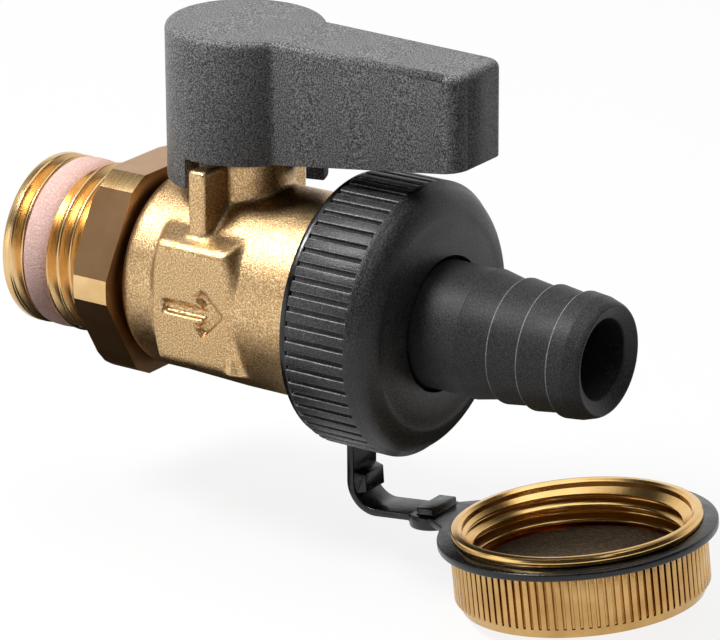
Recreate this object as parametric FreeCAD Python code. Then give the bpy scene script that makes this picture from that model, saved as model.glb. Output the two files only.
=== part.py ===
import FreeCAD, Part
import math
import os

from FreeCAD import Placement, Rotation, Vector

# A ball drain cock with a hose union and a tethered cap. Millimetres.
# The origin is on the pipe axis, at the hexagon's face that meets the pipe.
# +X runs along the pipe axis from the inlet to the hose tail, and +Z is up, along the stem.

# Inlet tail piece: male half-inch pipe thread, hexagon and screwed spigot
inlet_thread_radius = 10.4775
inlet_thread_root = 9.3155
inlet_thread_length = 13.0
inlet_lead_chamfer = 0.8
seal_groove_from_end = 3.2
seal_groove_width = 3.65
hex_across_flats = 25.0
hex_length = 5.3
hex_turned_radius = 13.66
hex_lead_chamfer = 0.5
spigot_radius = 9.9
tail_o_ring_from_hex = 1.0
waterway_radius = 5.0

# Forged body
tail_gap = 0.35
body_radius = 12.3
body_end_round = 1.6
body_end_to_stem = 10.7
stem_to_tether = 15.65
neck_radius = 5.6
neck_height = 16.2
stop_rib_reach = 10.3
stop_rib_width = 2.54
pad_face = 12.35
pad_half_height = 7.2
pad_middle_half_width = 6.05
pad_end_half_width = 4.7
pad_shoulder_angle = 20.0
pad_edge_round = 0.7

# Outlet: male three-quarter-inch pipe thread
outlet_thread_radius = 13.2205
outlet_thread_length = 5.6
outlet_lead_chamfer = 0.6
tether_groove_depth = 0.25

# Ball, seats and stem
ball_radius = 8.0
ball_room = 0.4
seat_front = 4.6
seat_length = 2.5
seat_lip = 0.3
slot_depth = 1.9
tang_thickness = 2.4
tang_half_length = 3.3
collar_thickness = 1.2
thrust_washer_thickness = 0.6
stem_radius = 3.5
stem_groove_depth = 1.35
stem_groove_width = 1.9
upper_o_ring_from_top = 2.34
o_ring_spacing = 2.3
drive_length = 9.0
drive_across_flats = 5.0
snap_groove_height = 6.4
snap_groove_width = 1.2
snap_groove_depth = 0.45

# Moulded lever
handle_gap = 0.88
handle_height = 14.96
boss_radius = 9.5
arm_length = 32.85
arm_root_half_width = 5.84
arm_tip_half_width = 5.0
arm_root_round = 1.0
arm_tip_round = 1.2
arm_top_drop = 0.55
arm_underside_flat = 7.15
arm_underside_rise = 3.22
handle_edge_round = 0.9
handle_wall = 1.8
handle_top_wall = 2.4
socket_wall = 2.0
leg_drop = 3.68
leg_wall = 2.2
stop_angle = 14.6

# Union nut
nut_wall = 2.5795
nut_rib_count = 58
nut_rib_depth = 0.45
nut_rib_share = 0.66
nut_dome_length = 2.6
nut_dome_drop = 4.4
nut_face_rise = 0.54
nut_front_wall = 1.95
nut_hole_radius = 8.08

# Hose tail and its gasket
gasket_thickness = 2.0
gasket_inner_radius = 6.0
flange_radius = 11.9
flange_thickness = 1.7
nozzle_root_radius = 7.6
nozzle_edge_radius = 7.52
nozzle_root_length = 8.16
nozzle_bore_radius = 4.72
barb_count = 3
barb_pitch = 3.98
barb_crest_radius = 7.42
barb_valley_radius = 6.87
nozzle_tip_length = 4.04
nozzle_shoulder_length = 2.0
nozzle_shoulder_radius = 7.2
nozzle_nose_length = 0.5
nozzle_nose_radius = 6.73
nozzle_rim_radius = 6.35
nozzle_mouth_depth = 0.9

# Cap tether: neck ring, strap and cap ring in one moulding
tether_thickness = 0.9
tether_ring_band = 3.84
strap_width = 5.0
strap_drop = 25.07
strap_reach = 30.33
strap_bend_radius = 1.9
strap_block_length = 2.7
strap_block_height = 1.5
strap_lobe_radius = 3.4
strap_lobe_from_cap = 19.5
strap_lobe_thickness = 1.6
strap_bar_length = 2.4
strap_bar_height = 0.9
strap_flare_half_width = 5.2
cap_ring_band = 2.29
cap_tilt = 6.72

# Turned cap
cap_lip_radius = 14.63
cap_lip_height = 1.1
cap_lip_round = 0.5
cap_groove_radius = 13.9
cap_skirt_radius = 14.87
cap_skirt_height = 6.3
cap_base_height = 1.02
cap_base_radius = 14.2
cap_knurl_count = 96
cap_knurl_depth = 0.35
cap_knurl_share = 0.68
cap_mouth_radius = 13.27
cap_mouth_depth = 1.2
cap_thread_crest = 12.06
cap_gasket_depth = 5.5
cap_gasket_thickness = 1.8
cap_gasket_radius = 12.9

# Clearances
thread_clearance = 0.05
nut_thread_clearance = 0.1
seal_clearance = 0.02
face_gap = 0.03
seat_clearance = 0.05
stem_clearance = 0.05
collar_clearance = 0.15
collar_to_seat_gap = 0.2
tang_clearance = 0.1
drive_clearance = 0.08
swivel_clearance = 0.08
swivel_end_gap = 0.1
spigot_end_gap = 0.3
socket_end_gap = 0.4

# Stations along the pipe axis
inlet_end = -inlet_thread_length
body_start = hex_length + tail_gap
stem_x = body_start + body_end_to_stem
seat_back = seat_front + seat_length
spigot_end = stem_x - seat_front
cavity_radius = ball_radius + ball_room
tether_start = stem_x + stem_to_tether
tether_middle = tether_start + tether_thickness / 2
nut_start = tether_start + tether_thickness + swivel_end_gap
outlet_end = nut_start + outlet_thread_length
gasket_start = outlet_end + face_gap
flange_start = gasket_start + gasket_thickness + face_gap
flange_end = flange_start + flange_thickness
nut_inner_face = flange_end + face_gap
nut_front = nut_inner_face + nut_front_wall
nut_dome_end = nut_front - nut_face_rise
nut_rib_end = nut_dome_end - nut_dome_length
nut_bore_radius = outlet_thread_radius + nut_thread_clearance
nut_root_radius = nut_bore_radius + nut_wall
nut_rib_radius = nut_root_radius + nut_rib_depth
first_barb = flange_end + nozzle_root_length + barb_pitch
last_barb = first_barb + (barb_count - 1) * barb_pitch
nozzle_end = last_barb + nozzle_tip_length

# Heights along the stem, and the collar that passes between the seats
collar_radius = seat_front - collar_to_seat_gap
collar_bottom = ball_radius + tang_clearance
collar_top = collar_bottom + collar_thickness
shoulder_height = collar_top + thrust_washer_thickness + 2 * face_gap
stem_bore_radius = stem_radius + stem_clearance
upper_o_ring_height = neck_height - upper_o_ring_from_top
lower_o_ring_height = upper_o_ring_height - o_ring_spacing
handle_bottom = neck_height + handle_gap
handle_top = handle_bottom + handle_height
drive_top = neck_height + drive_length
socket_radius = stem_radius + drive_clearance
snap_groove_middle = neck_height + snap_groove_height

# The cap ring's middle plane, and the directions along the strap and out of the cap
tilt = math.radians(cap_tilt)
along_strap = Vector(math.cos(tilt), 0, math.sin(tilt))
out_of_cap = Vector(-math.sin(tilt), 0, math.cos(tilt))
strap_corner = Vector(tether_middle, 0, -strap_drop)
cap_ring_centre = strap_corner + along_strap * strap_reach
tether_groove_radius = body_radius - tether_groove_depth
tether_hole_radius = tether_groove_radius + swivel_clearance
tether_ring_radius = tether_hole_radius + tether_ring_band
cap_hole_radius = cap_groove_radius + swivel_clearance
cap_ring_radius = cap_hole_radius + cap_ring_band
cap_groove_width = tether_thickness + 2 * swivel_end_gap
cap_skirt_top = -cap_lip_height - cap_groove_width
cap_skirt_bottom = cap_skirt_top - cap_skirt_height
cap_bottom = cap_skirt_bottom - cap_base_height
cap_floor = -cap_gasket_depth - cap_gasket_thickness - face_gap

AXIS_X = Vector(1, 0, 0)
AXIS_Y = Vector(0, 1, 0)
AXIS_Z = Vector(0, 0, 1)
ORIGIN = Vector(0, 0, 0)
FULL_TURN = 360
QUARTER_TURN = 90
CUT_MARGIN = 1.0
DOME_POINTS = 6


def line(start, end):
    return Part.LineSegment(start, end).toShape()


def arc(start, middle, end):
    return Part.Arc(start, middle, end).toShape()


def polygon_face(points):
    return Part.Face(Part.makePolygon(points + points[:1]))


def turned_about_pipe(profile):
    """A solid turned about the pipe axis from (x, radius) points."""
    face = polygon_face([Vector(x, 0, r) for x, r in profile])
    return face.revolve(ORIGIN, AXIS_X, FULL_TURN)


def turned_upright(profile, x):
    """A solid turned about an upright axis at x from (radius, z) points."""
    face = polygon_face([Vector(x + r, 0, z) for r, z in profile])
    return face.revolve(Vector(x, 0, 0), AXIS_Z, FULL_TURN)


def rod(radius, start, end):
    """A cylinder along the pipe axis."""
    return Part.makeCylinder(radius, end - start, Vector(start, 0, 0), AXIS_X)


def post(radius, bottom, top):
    """A cylinder along the stem axis."""
    return Part.makeCylinder(radius, top - bottom, Vector(stem_x, 0, bottom), AXIS_Z)


def centred_box(length, width, height, middle):
    corner = middle - Vector(length, width, height) * 0.5
    return Part.makeBox(length, width, height, corner)


def o_ring(inner_radius, outer_radius, centre, axis):
    section = (outer_radius - inner_radius) / 2
    return Part.makeTorus(inner_radius + section, section, centre, axis)


def ribbed_face(count, crest_radius, root_radius, land_share, across, up):
    """A ring of straight ribs as a flat face; across and up span its plane."""
    pitch = 2 * math.pi / count
    half_land = pitch * land_share / 2

    def at(radius, angle):
        return across * (radius * math.cos(angle)) + up * (radius * math.sin(angle))

    edges = []
    for index in range(count):
        middle = index * pitch
        near = middle - half_land
        far = middle + half_land
        after = near + pitch
        gap_middle = middle + pitch / 2
        edges.append(arc(at(crest_radius, near), at(crest_radius, middle), at(crest_radius, far)))
        edges.append(line(at(crest_radius, far), at(root_radius, far)))
        edges.append(arc(at(root_radius, far), at(root_radius, gap_middle), at(root_radius, after)))
        edges.append(line(at(root_radius, after), at(crest_radius, after)))
    return Part.Face(Part.Wire(edges))


def make_tail_piece():
    """Thread, hexagon and spigot turned and milled from one bar."""
    thread = turned_about_pipe([
        (inlet_end, waterway_radius),
        (inlet_end, inlet_thread_radius - inlet_lead_chamfer),
        (inlet_end + inlet_lead_chamfer, inlet_thread_radius),
        (0, inlet_thread_radius),
        (0, waterway_radius),
    ])
    groove_start = inlet_end + seal_groove_from_end
    groove_end = groove_start + seal_groove_width
    groove = rod(inlet_thread_radius + CUT_MARGIN, groove_start, groove_end)
    thread = thread.cut(groove.cut(rod(inlet_thread_root, groove_start, groove_end)))

    corner_radius = hex_across_flats / math.sqrt(3)
    corners = [
        Vector(0, corner_radius * math.cos(k * math.pi / 3), corner_radius * math.sin(k * math.pi / 3))
        for k in range(6)
    ]
    hexagon = polygon_face(corners).extrude(AXIS_X * hex_length)
    hexagon = hexagon.common(turned_about_pipe([
        (0, 0),
        (0, hex_turned_radius - hex_lead_chamfer),
        (hex_lead_chamfer, hex_turned_radius),
        (hex_length, hex_turned_radius),
        (hex_length, 0),
    ]))
    hexagon = hexagon.cut(rod(waterway_radius, -CUT_MARGIN, hex_length + CUT_MARGIN))

    ring_start = hex_length + tail_o_ring_from_hex
    ring_end = ring_start + stem_groove_width
    root = spigot_radius - stem_groove_depth
    pocket_start = stem_x - seat_back - face_gap
    spigot = turned_about_pipe([
        (hex_length, waterway_radius),
        (hex_length, spigot_radius),
        (ring_start, spigot_radius),
        (ring_start, root),
        (ring_end, root),
        (ring_end, spigot_radius),
        (spigot_end, spigot_radius),
        (spigot_end, cavity_radius),
        (pocket_start, cavity_radius),
        (pocket_start, waterway_radius),
    ])
    return thread.fuse([hexagon, spigot]).removeSplitter()


def make_thread_seal_ring():
    start = inlet_end + seal_groove_from_end + seat_clearance
    end = start + seal_groove_width - 2 * seat_clearance
    outer = rod(inlet_thread_radius, start, end)
    return outer.cut(rod(inlet_thread_root + seal_clearance, start, end))


def make_tail_o_ring():
    middle = hex_length + tail_o_ring_from_hex + stem_groove_width / 2
    inner = spigot_radius - stem_groove_depth + seal_clearance
    outer = spigot_radius + thread_clearance - seal_clearance
    return o_ring(inner, outer, Vector(middle, 0, 0), AXIS_X)


def make_pads():
    """The flat side pads, front and back, as one block through the body."""
    # The side arcs pass through the pad's corners and its middle.
    sagitta = pad_middle_half_width - pad_end_half_width
    radius = (pad_half_height ** 2 + sagitta ** 2) / (2 * sagitta)
    left_disc = Part.makeCylinder(
        radius, 2 * pad_face,
        Vector(stem_x - pad_middle_half_width + radius, -pad_face, 0), AXIS_Y)
    right_disc = Part.makeCylinder(
        radius, 2 * pad_face,
        Vector(stem_x + pad_middle_half_width - radius, -pad_face, 0), AXIS_Y)
    slope = math.tan(math.radians(pad_shoulder_angle))
    ridge = pad_half_height + pad_face * slope
    section = polygon_face([
        Vector(stem_x - body_radius, -pad_face, -pad_half_height),
        Vector(stem_x - body_radius, -pad_face, pad_half_height),
        Vector(stem_x - body_radius, 0, ridge),
        Vector(stem_x - body_radius, pad_face, pad_half_height),
        Vector(stem_x - body_radius, pad_face, -pad_half_height),
        Vector(stem_x - body_radius, 0, -ridge),
    ])
    block = section.extrude(AXIS_X * (2 * body_radius)).common(left_disc).common(right_disc)
    rim = [
        edge for face in block.Faces
        if abs(abs(face.CenterOfMass.y) - pad_face) < face_gap
        for edge in face.Edges
    ]
    block = block.makeFillet(pad_edge_round, rim)
    # Only what stands out of the barrel's flanks is kept; the crown stays round.
    crown = body_radius * math.cos(math.radians(pad_shoulder_angle))
    slab = centred_box(4 * body_radius, 4 * body_radius, 2 * crown, Vector(stem_x, 0, 0))
    return block.common(slab)


def make_body():
    """Barrel, pads, neck and stop ribs in one forging, then the bores."""
    groove_start = tether_start - swivel_end_gap
    barrel = rod(body_radius, body_start, groove_start)
    end_edge = [edge for edge in barrel.Edges if abs(edge.CenterOfMass.x - body_start) < face_gap]
    barrel = barrel.makeFillet(body_end_round, end_edge)
    outlet = turned_about_pipe([
        (groove_start, 0),
        (groove_start, tether_groove_radius),
        (nut_start, tether_groove_radius),
        (nut_start, outlet_thread_radius),
        (outlet_end - outlet_lead_chamfer, outlet_thread_radius),
        (outlet_end, outlet_thread_radius - outlet_lead_chamfer),
        (outlet_end, 0),
    ])
    neck = post(neck_radius, 0, neck_height)
    ribs = centred_box(stop_rib_width, 2 * stop_rib_reach, neck_height, Vector(stem_x, 0, neck_height / 2))
    forging = barrel.fuse([outlet, neck, ribs, make_pads()]).removeSplitter()

    spigot_bore = rod(spigot_radius + thread_clearance, body_start - CUT_MARGIN, spigot_end + spigot_end_gap)
    cavity = rod(cavity_radius, spigot_end, stem_x + seat_back + face_gap)
    outlet_bore = rod(waterway_radius, stem_x, outlet_end + CUT_MARGIN)
    collar_pocket = post(collar_radius + collar_clearance, 0, shoulder_height)
    stem_bore = post(stem_bore_radius, 0, neck_height + CUT_MARGIN)
    return forging.cut([spigot_bore, cavity, outlet_bore, collar_pocket, stem_bore])


def make_ball():
    """A ball with its waterway open, and the stem's slot across it."""
    centre = Vector(stem_x, 0, 0)
    sphere = Part.makeSphere(ball_radius, centre)
    waterway = rod(waterway_radius, stem_x - 2 * ball_radius, stem_x + 2 * ball_radius)
    slot_width = tang_thickness + 2 * tang_clearance
    slot_middle = Vector(stem_x, 0, ball_radius - slot_depth / 2 + CUT_MARGIN / 2)
    slot = centred_box(slot_width, 2 * ball_radius, slot_depth + CUT_MARGIN, slot_middle)
    return sphere.cut([waterway, slot])


def make_seat(side):
    """A seat ring; side is -1 for the inlet and 1 for the outlet."""
    front = stem_x + side * seat_front
    back = stem_x + side * seat_back
    low = min(front, back)
    high = max(front, back)
    ring = rod(cavity_radius - seat_clearance, low, high)
    ring = ring.cut(rod(waterway_radius + seat_lip, low - CUT_MARGIN, high + CUT_MARGIN))
    return ring.cut(Part.makeSphere(ball_radius + seat_clearance, Vector(stem_x, 0, 0)))


def make_stem():
    """Tang, collar, sealed shaft and two-flat drive."""
    groove_root = stem_radius - stem_groove_depth
    half_groove = stem_groove_width / 2
    half_snap = snap_groove_width / 2
    snap_root = stem_radius - snap_groove_depth
    turned = turned_upright([
        (0, collar_bottom),
        (collar_radius, collar_bottom),
        (collar_radius, collar_top),
        (stem_radius, collar_top),
        (stem_radius, lower_o_ring_height - half_groove),
        (groove_root, lower_o_ring_height - half_groove),
        (groove_root, lower_o_ring_height + half_groove),
        (stem_radius, lower_o_ring_height + half_groove),
        (stem_radius, upper_o_ring_height - half_groove),
        (groove_root, upper_o_ring_height - half_groove),
        (groove_root, upper_o_ring_height + half_groove),
        (stem_radius, upper_o_ring_height + half_groove),
        (stem_radius, snap_groove_middle - half_snap),
        (snap_root, snap_groove_middle - half_snap),
        (snap_root, snap_groove_middle + half_snap),
        (stem_radius, snap_groove_middle + half_snap),
        (stem_radius, drive_top),
        (0, drive_top),
    ], stem_x)
    tang_bottom = ball_radius - slot_depth + tang_clearance
    tang_height = collar_bottom - tang_bottom
    tang = centred_box(
        tang_thickness, 2 * tang_half_length, tang_height,
        Vector(stem_x, 0, tang_bottom + tang_height / 2))
    flat_depth = stem_radius
    flats = [
        centred_box(
            2 * boss_radius, flat_depth, drive_length + CUT_MARGIN,
            Vector(stem_x, side * (drive_across_flats + flat_depth) / 2,
                   neck_height + (drive_length + CUT_MARGIN) / 2))
        for side in (-1, 1)
    ]
    return turned.cut(flats).fuse(tang).removeSplitter()


def make_stem_thrust_washer():
    bottom = collar_top + face_gap
    top = bottom + thrust_washer_thickness
    return post(collar_radius, bottom, top).cut(post(stem_bore_radius, bottom, top))


def make_stem_o_ring(height):
    inner = stem_radius - stem_groove_depth + seal_clearance
    outer = stem_bore_radius - seal_clearance
    return o_ring(inner, outer, Vector(stem_x, 0, height), AXIS_Z)


def lever_outline(inset):
    """The lever's plan, boss and arm, drawn in by inset all round."""
    boss = boss_radius - inset
    tip = arm_length - inset
    taper = math.atan2(arm_root_half_width - arm_tip_half_width, arm_length)
    side_distance = arm_root_half_width * math.cos(taper) - inset
    outward = Vector(math.sin(taper), math.cos(taper), 0)
    towards_tip = Vector(math.cos(taper), -math.sin(taper), 0)
    # A hollow round joins the arm's side to the boss, and a full round its tip.
    root_round = arm_root_round + inset
    tip_round = max(arm_tip_round - inset, face_gap)
    root_along = math.sqrt((boss + root_round) ** 2 - (side_distance + root_round) ** 2)
    root_centre = outward * (side_distance + root_round) + towards_tip * root_along
    on_boss = root_centre * (boss / (boss + root_round))
    on_side = root_centre - outward * root_round
    hollow = on_boss + on_side - root_centre * 2
    root_middle = root_centre + hollow.normalize() * root_round
    tip_centre_x = tip - tip_round
    tip_centre_y = (side_distance - tip_round - tip_centre_x * math.sin(taper)) / math.cos(taper)
    tip_centre = Vector(tip_centre_x, tip_centre_y, 0)
    side_end = tip_centre + outward * tip_round
    end_start = tip_centre + AXIS_X * tip_round
    tip_middle = tip_centre + (outward + AXIS_X).normalize() * tip_round

    def place(point, side):
        return Vector(stem_x + point.x, side * point.y, 0)

    edges = [
        arc(place(on_boss, 1), Vector(stem_x - boss, 0, 0), place(on_boss, -1)),
        arc(place(on_boss, -1), place(root_middle, -1), place(on_side, -1)),
        line(place(on_side, -1), place(side_end, -1)),
        arc(place(side_end, -1), place(tip_middle, -1), place(end_start, -1)),
        line(place(end_start, -1), place(end_start, 1)),
        arc(place(end_start, 1), place(tip_middle, 1), place(side_end, 1)),
        line(place(side_end, 1), place(on_side, 1)),
        arc(place(on_side, 1), place(root_middle, 1), place(on_boss, 1)),
    ]
    return Part.Face(Part.Wire(edges))


def lever_block(inset, bottom_extra, top_inset):
    """The lever's plan raised between its underside and its sloping top."""
    left = stem_x - 2 * boss_radius
    flat_end = stem_x + arm_underside_flat
    tip = stem_x + arm_length
    top_slope = arm_top_drop / arm_length
    side = polygon_face([
        Vector(left, -arm_length, handle_bottom - bottom_extra),
        Vector(flat_end, -arm_length, handle_bottom - bottom_extra),
        Vector(tip, -arm_length, handle_bottom + arm_underside_rise - bottom_extra),
        Vector(tip, -arm_length, handle_top - arm_top_drop - top_inset),
        Vector(left, -arm_length, handle_top + top_slope * 2 * boss_radius - top_inset),
    ]).extrude(AXIS_Y * (2 * arm_length))
    plan = lever_outline(inset).extrude(AXIS_Z * (2 * handle_top))
    return plan.common(side)


def make_handle():
    """A hollow lever with a two-flat socket and two stop legs."""
    outer = lever_block(0, 0, 0)
    top_face = max(outer.Faces, key=lambda face: face.CenterOfMass.z)
    outer = outer.makeFillet(handle_edge_round, top_face.Edges)
    hollow = lever_block(handle_wall, CUT_MARGIN, handle_top_wall)
    socket_outer = socket_radius + socket_wall
    socket_post = post(socket_outer, handle_bottom, handle_top - handle_top_wall / 2)
    socket_top = drive_top + socket_end_gap
    socket_hole = post(socket_radius, handle_bottom - CUT_MARGIN, socket_top)
    half_flat = drive_across_flats / 2 + drive_clearance
    key_length = 2 * socket_outer
    keys = [
        centred_box(
            key_length, key_length, 2 * socket_top,
            Vector(stem_x, side * (half_flat + key_length / 2), 0))
        for side in (-1, 1)
    ]
    socket_hole = socket_hole.cut(keys)
    # A small ridge on each rounded side of the socket snaps into the stem's groove.
    ridge_height = snap_groove_width - 2 * drive_clearance
    ridge = post(socket_radius, snap_groove_middle - ridge_height / 2, snap_groove_middle + ridge_height / 2)
    ridge_bore = stem_radius - snap_groove_depth + drive_clearance
    ridge = ridge.cut(post(ridge_bore, handle_bottom, handle_top)).cut(keys)
    # Each leg fills the quarter turn that the stop ribs leave it, less the lost motion.
    legs = []
    leg_ring = post(boss_radius, handle_bottom - leg_drop, handle_bottom + handle_edge_round)
    leg_ring = leg_ring.cut(post(boss_radius - leg_wall, 0, handle_top))
    span = QUARTER_TURN - 2 * stop_angle
    for start in (stop_angle, 2 * QUARTER_TURN + stop_angle):
        sector = Part.makeCylinder(
            2 * boss_radius, handle_top, Vector(stem_x, 0, 0), AXIS_Z, span)
        sector.rotate(Vector(stem_x, 0, 0), AXIS_Z, start)
        legs.append(leg_ring.common(sector))
    shell = outer.cut(hollow).fuse([socket_post] + legs)
    return shell.cut(socket_hole.cut(ridge)).removeSplitter()


def make_union_nut():
    """A ribbed grip, a rounded front and a plain bore at the thread's clearance."""
    grip_face = ribbed_face(nut_rib_count, nut_rib_radius, nut_root_radius, nut_rib_share, AXIS_Y, AXIS_Z)
    grip = grip_face.extrude(AXIS_X * (nut_rib_end - nut_start))
    grip.translate(AXIS_X * nut_start)
    # The front swells out of the grip as a quarter of an oval, then slopes to its hole.
    dome_radius = nut_root_radius - nut_dome_drop
    oval = []
    for index in range(DOME_POINTS):
        angle = math.pi / 2 * index / (DOME_POINTS - 1)
        along = nut_rib_end + nut_dome_length * math.sin(angle)
        oval.append(Vector(along, 0, dome_radius + nut_dome_drop * math.cos(angle)))
    hole_edge = Vector(nut_front, 0, nut_hole_radius)
    dome_curve = Part.BSplineCurve()
    dome_curve.interpolate(
        Points=oval, InitialTangent=AXIS_X, FinalTangent=(hole_edge - oval[-1]).normalize())
    section = Part.Wire([
        dome_curve.toShape(),
        line(oval[-1], hole_edge),
        line(hole_edge, Vector(nut_rib_end, 0, nut_hole_radius)),
        line(Vector(nut_rib_end, 0, nut_hole_radius), oval[0]),
    ])
    front = Part.Face(section).revolve(ORIGIN, AXIS_X, FULL_TURN)
    bore = rod(nut_bore_radius, nut_start - CUT_MARGIN, nut_inner_face)
    hole = rod(nut_hole_radius, nut_start, nut_front + CUT_MARGIN)
    return grip.fuse(front).cut([bore, hole]).removeSplitter()


def make_hose_nozzle():
    """Flange, plain root, barbs that slope towards the tip, and a wide mouth."""
    root_end = flange_end + nozzle_root_length
    outside = [
        (flange_start, nozzle_bore_radius),
        (flange_start, flange_radius),
        (flange_end, flange_radius),
        (flange_end, nozzle_root_radius),
        (root_end, nozzle_edge_radius),
        (first_barb, barb_valley_radius),
    ]
    for index in range(barb_count - 1):
        outside.append((first_barb + index * barb_pitch, barb_crest_radius))
        outside.append((first_barb + (index + 1) * barb_pitch, barb_valley_radius))
    outside += [
        (last_barb, barb_crest_radius),
        (nozzle_end - nozzle_shoulder_length, nozzle_shoulder_radius),
        (nozzle_end - nozzle_nose_length, nozzle_nose_radius),
        (nozzle_end, nozzle_rim_radius),
        (nozzle_end - nozzle_mouth_depth, nozzle_bore_radius),
    ]
    return turned_about_pipe(outside)


def make_nozzle_gasket():
    end = gasket_start + gasket_thickness
    return rod(flange_radius, gasket_start, end).cut(rod(gasket_inner_radius, gasket_start, end))


def in_cap_frame(shape):
    """Moves a shape from the cap ring's own frame to its tilted place."""
    shape.Placement = Placement(cap_ring_centre, Rotation(AXIS_Y, -cap_tilt)).multiply(shape.Placement)
    return shape


def make_strap():
    """The strap's edge profile: straight down, a bend, then out to the cap ring."""
    half = tether_thickness / 2
    turn = math.pi / 2 + tilt
    tangent = strap_bend_radius * math.tan(turn / 2)
    bend_start = strap_corner + AXIS_Z * tangent
    bend_end = strap_corner + along_strap * tangent
    bend_centre = bend_start + AXIS_X * strap_bend_radius
    away = out_of_cap * -1
    bisector = (away - AXIS_X).normalize()
    ring_overlap = (cap_ring_radius - cap_groove_radius) / 2
    end = cap_ring_centre - along_strap * (cap_ring_radius - ring_overlap)
    top = Vector(tether_middle, 0, -tether_ring_radius + ring_overlap)

    def bend(radius):
        return bend_centre - AXIS_X * radius, bend_centre + bisector * radius, bend_centre + away * radius

    outer = bend(strap_bend_radius + half)
    inner = bend(strap_bend_radius - half)
    profile = Part.Wire([
        line(top - AXIS_X * half, outer[0]),
        arc(*outer),
        line(outer[2], end + away * half),
        line(end + away * half, end - away * half),
        line(end - away * half, inner[2]),
        arc(inner[2], inner[1], inner[0]),
        line(inner[0], top + AXIS_X * half),
        line(top + AXIS_X * half, top - AXIS_X * half),
    ])
    face = Part.Face(profile)
    face.translate(AXIS_Y * (-strap_width / 2))
    strap = face.extrude(AXIS_Y * strap_width)
    block = centred_box(
        strap_block_height + half, strap_width, strap_block_length,
        bend_start + AXIS_X * ((strap_block_height + half) / 2) + AXIS_Z * (strap_block_length / 2))
    return strap.fuse(block)


def make_cap_tether():
    """Neck ring, strap with its stops, and cap ring, moulded in one piece."""
    half = tether_thickness / 2
    neck_ring = rod(tether_ring_radius, tether_start, tether_start + tether_thickness)
    neck_ring = neck_ring.cut(rod(tether_hole_radius, tether_start, tether_start + tether_thickness))

    below = Vector(0, 0, -half)
    ring = Part.makeCylinder(cap_ring_radius, tether_thickness, below, AXIS_Z)
    ring_reach = math.sqrt(cap_ring_radius ** 2 - strap_flare_half_width ** 2)
    flare = polygon_face([
        Vector(-strap_lobe_from_cap, -strap_width / 2, -half),
        Vector(-strap_lobe_from_cap, strap_width / 2, -half),
        Vector(-ring_reach, strap_flare_half_width, -half),
        Vector(-ring_reach, -strap_flare_half_width, -half),
    ]).extrude(AXIS_Z * tether_thickness)
    lobe_bottom = Vector(-strap_lobe_from_cap, 0, half - strap_lobe_thickness)
    lobe = Part.makeCylinder(strap_lobe_radius, strap_lobe_thickness, lobe_bottom, AXIS_Z)
    bar = centred_box(
        strap_bar_length, strap_width, strap_bar_height + tether_thickness,
        Vector(-strap_lobe_from_cap, 0, strap_bar_height / 2))
    cap_end = ring.fuse([flare, lobe, bar])
    hole_bottom = Vector(0, 0, -cap_hole_radius)
    cap_end = cap_end.cut(Part.makeCylinder(cap_hole_radius, 2 * cap_hole_radius, hole_bottom, AXIS_Z))
    return neck_ring.fuse([make_strap(), in_cap_frame(cap_end)]).removeSplitter()


def cap_frame_shape(shape):
    """Moves a shape drawn below the cap's lip to the cap's tilted place."""
    lip_above_ring = cap_lip_height + cap_groove_width / 2
    shape.translate(AXIS_Z * lip_above_ring)
    return in_cap_frame(shape)


def make_cap():
    """Rounded lip, tether groove, knurled skirt and a threaded hollow."""
    lip = Part.makeCylinder(cap_lip_radius, cap_lip_height, Vector(0, 0, -cap_lip_height), AXIS_Z)
    lip_edges = [edge for edge in lip.Edges if len(edge.Vertexes) == 1]
    lip = lip.makeFillet(cap_lip_round, lip_edges)
    knurl_root = cap_skirt_radius - cap_knurl_depth
    knurl = ribbed_face(cap_knurl_count, cap_skirt_radius, knurl_root, cap_knurl_share, AXIS_X, AXIS_Y)
    knurl = knurl.extrude(AXIS_Z * cap_skirt_height)
    knurl.translate(AXIS_Z * cap_skirt_bottom)
    waist = turned_upright([
        (0, -cap_lip_height),
        (cap_groove_radius, -cap_lip_height),
        (cap_groove_radius, cap_skirt_top),
        (0, cap_skirt_top),
    ], 0)
    base = turned_upright([
        (0, cap_skirt_bottom),
        (knurl_root, cap_skirt_bottom),
        (cap_base_radius, cap_bottom),
        (0, cap_bottom),
    ], 0)
    hollow = turned_upright([
        (0, CUT_MARGIN),
        (cap_mouth_radius, CUT_MARGIN),
        (cap_mouth_radius, 0),
        (cap_thread_crest, -cap_mouth_depth),
        (cap_thread_crest, -cap_gasket_depth),
        (cap_gasket_radius + swivel_clearance, -cap_gasket_depth),
        (cap_gasket_radius + swivel_clearance, cap_floor),
        (0, cap_floor),
    ], 0)
    return cap_frame_shape(lip.fuse([waist, knurl, base]).cut(hollow).removeSplitter())


def make_cap_gasket():
    bottom = -cap_gasket_depth - cap_gasket_thickness
    return cap_frame_shape(
        Part.makeCylinder(cap_gasket_radius, cap_gasket_thickness, Vector(0, 0, bottom), AXIS_Z))


PARTS = {
    "tail_piece": make_tail_piece,
    "thread_seal_ring": make_thread_seal_ring,
    "tail_o_ring": make_tail_o_ring,
    "body": make_body,
    "ball": make_ball,
    "inlet_seat": lambda: make_seat(-1),
    "outlet_seat": lambda: make_seat(1),
    "stem": make_stem,
    "stem_thrust_washer": make_stem_thrust_washer,
    "lower_stem_o_ring": lambda: make_stem_o_ring(lower_o_ring_height),
    "upper_stem_o_ring": lambda: make_stem_o_ring(upper_o_ring_height),
    "handle": make_handle,
    "union_nut": make_union_nut,
    "hose_nozzle": make_hose_nozzle,
    "nozzle_gasket": make_nozzle_gasket,
    "cap_tether": make_cap_tether,
    "cap": make_cap,
    "cap_gasket": make_cap_gasket,
}

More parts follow.
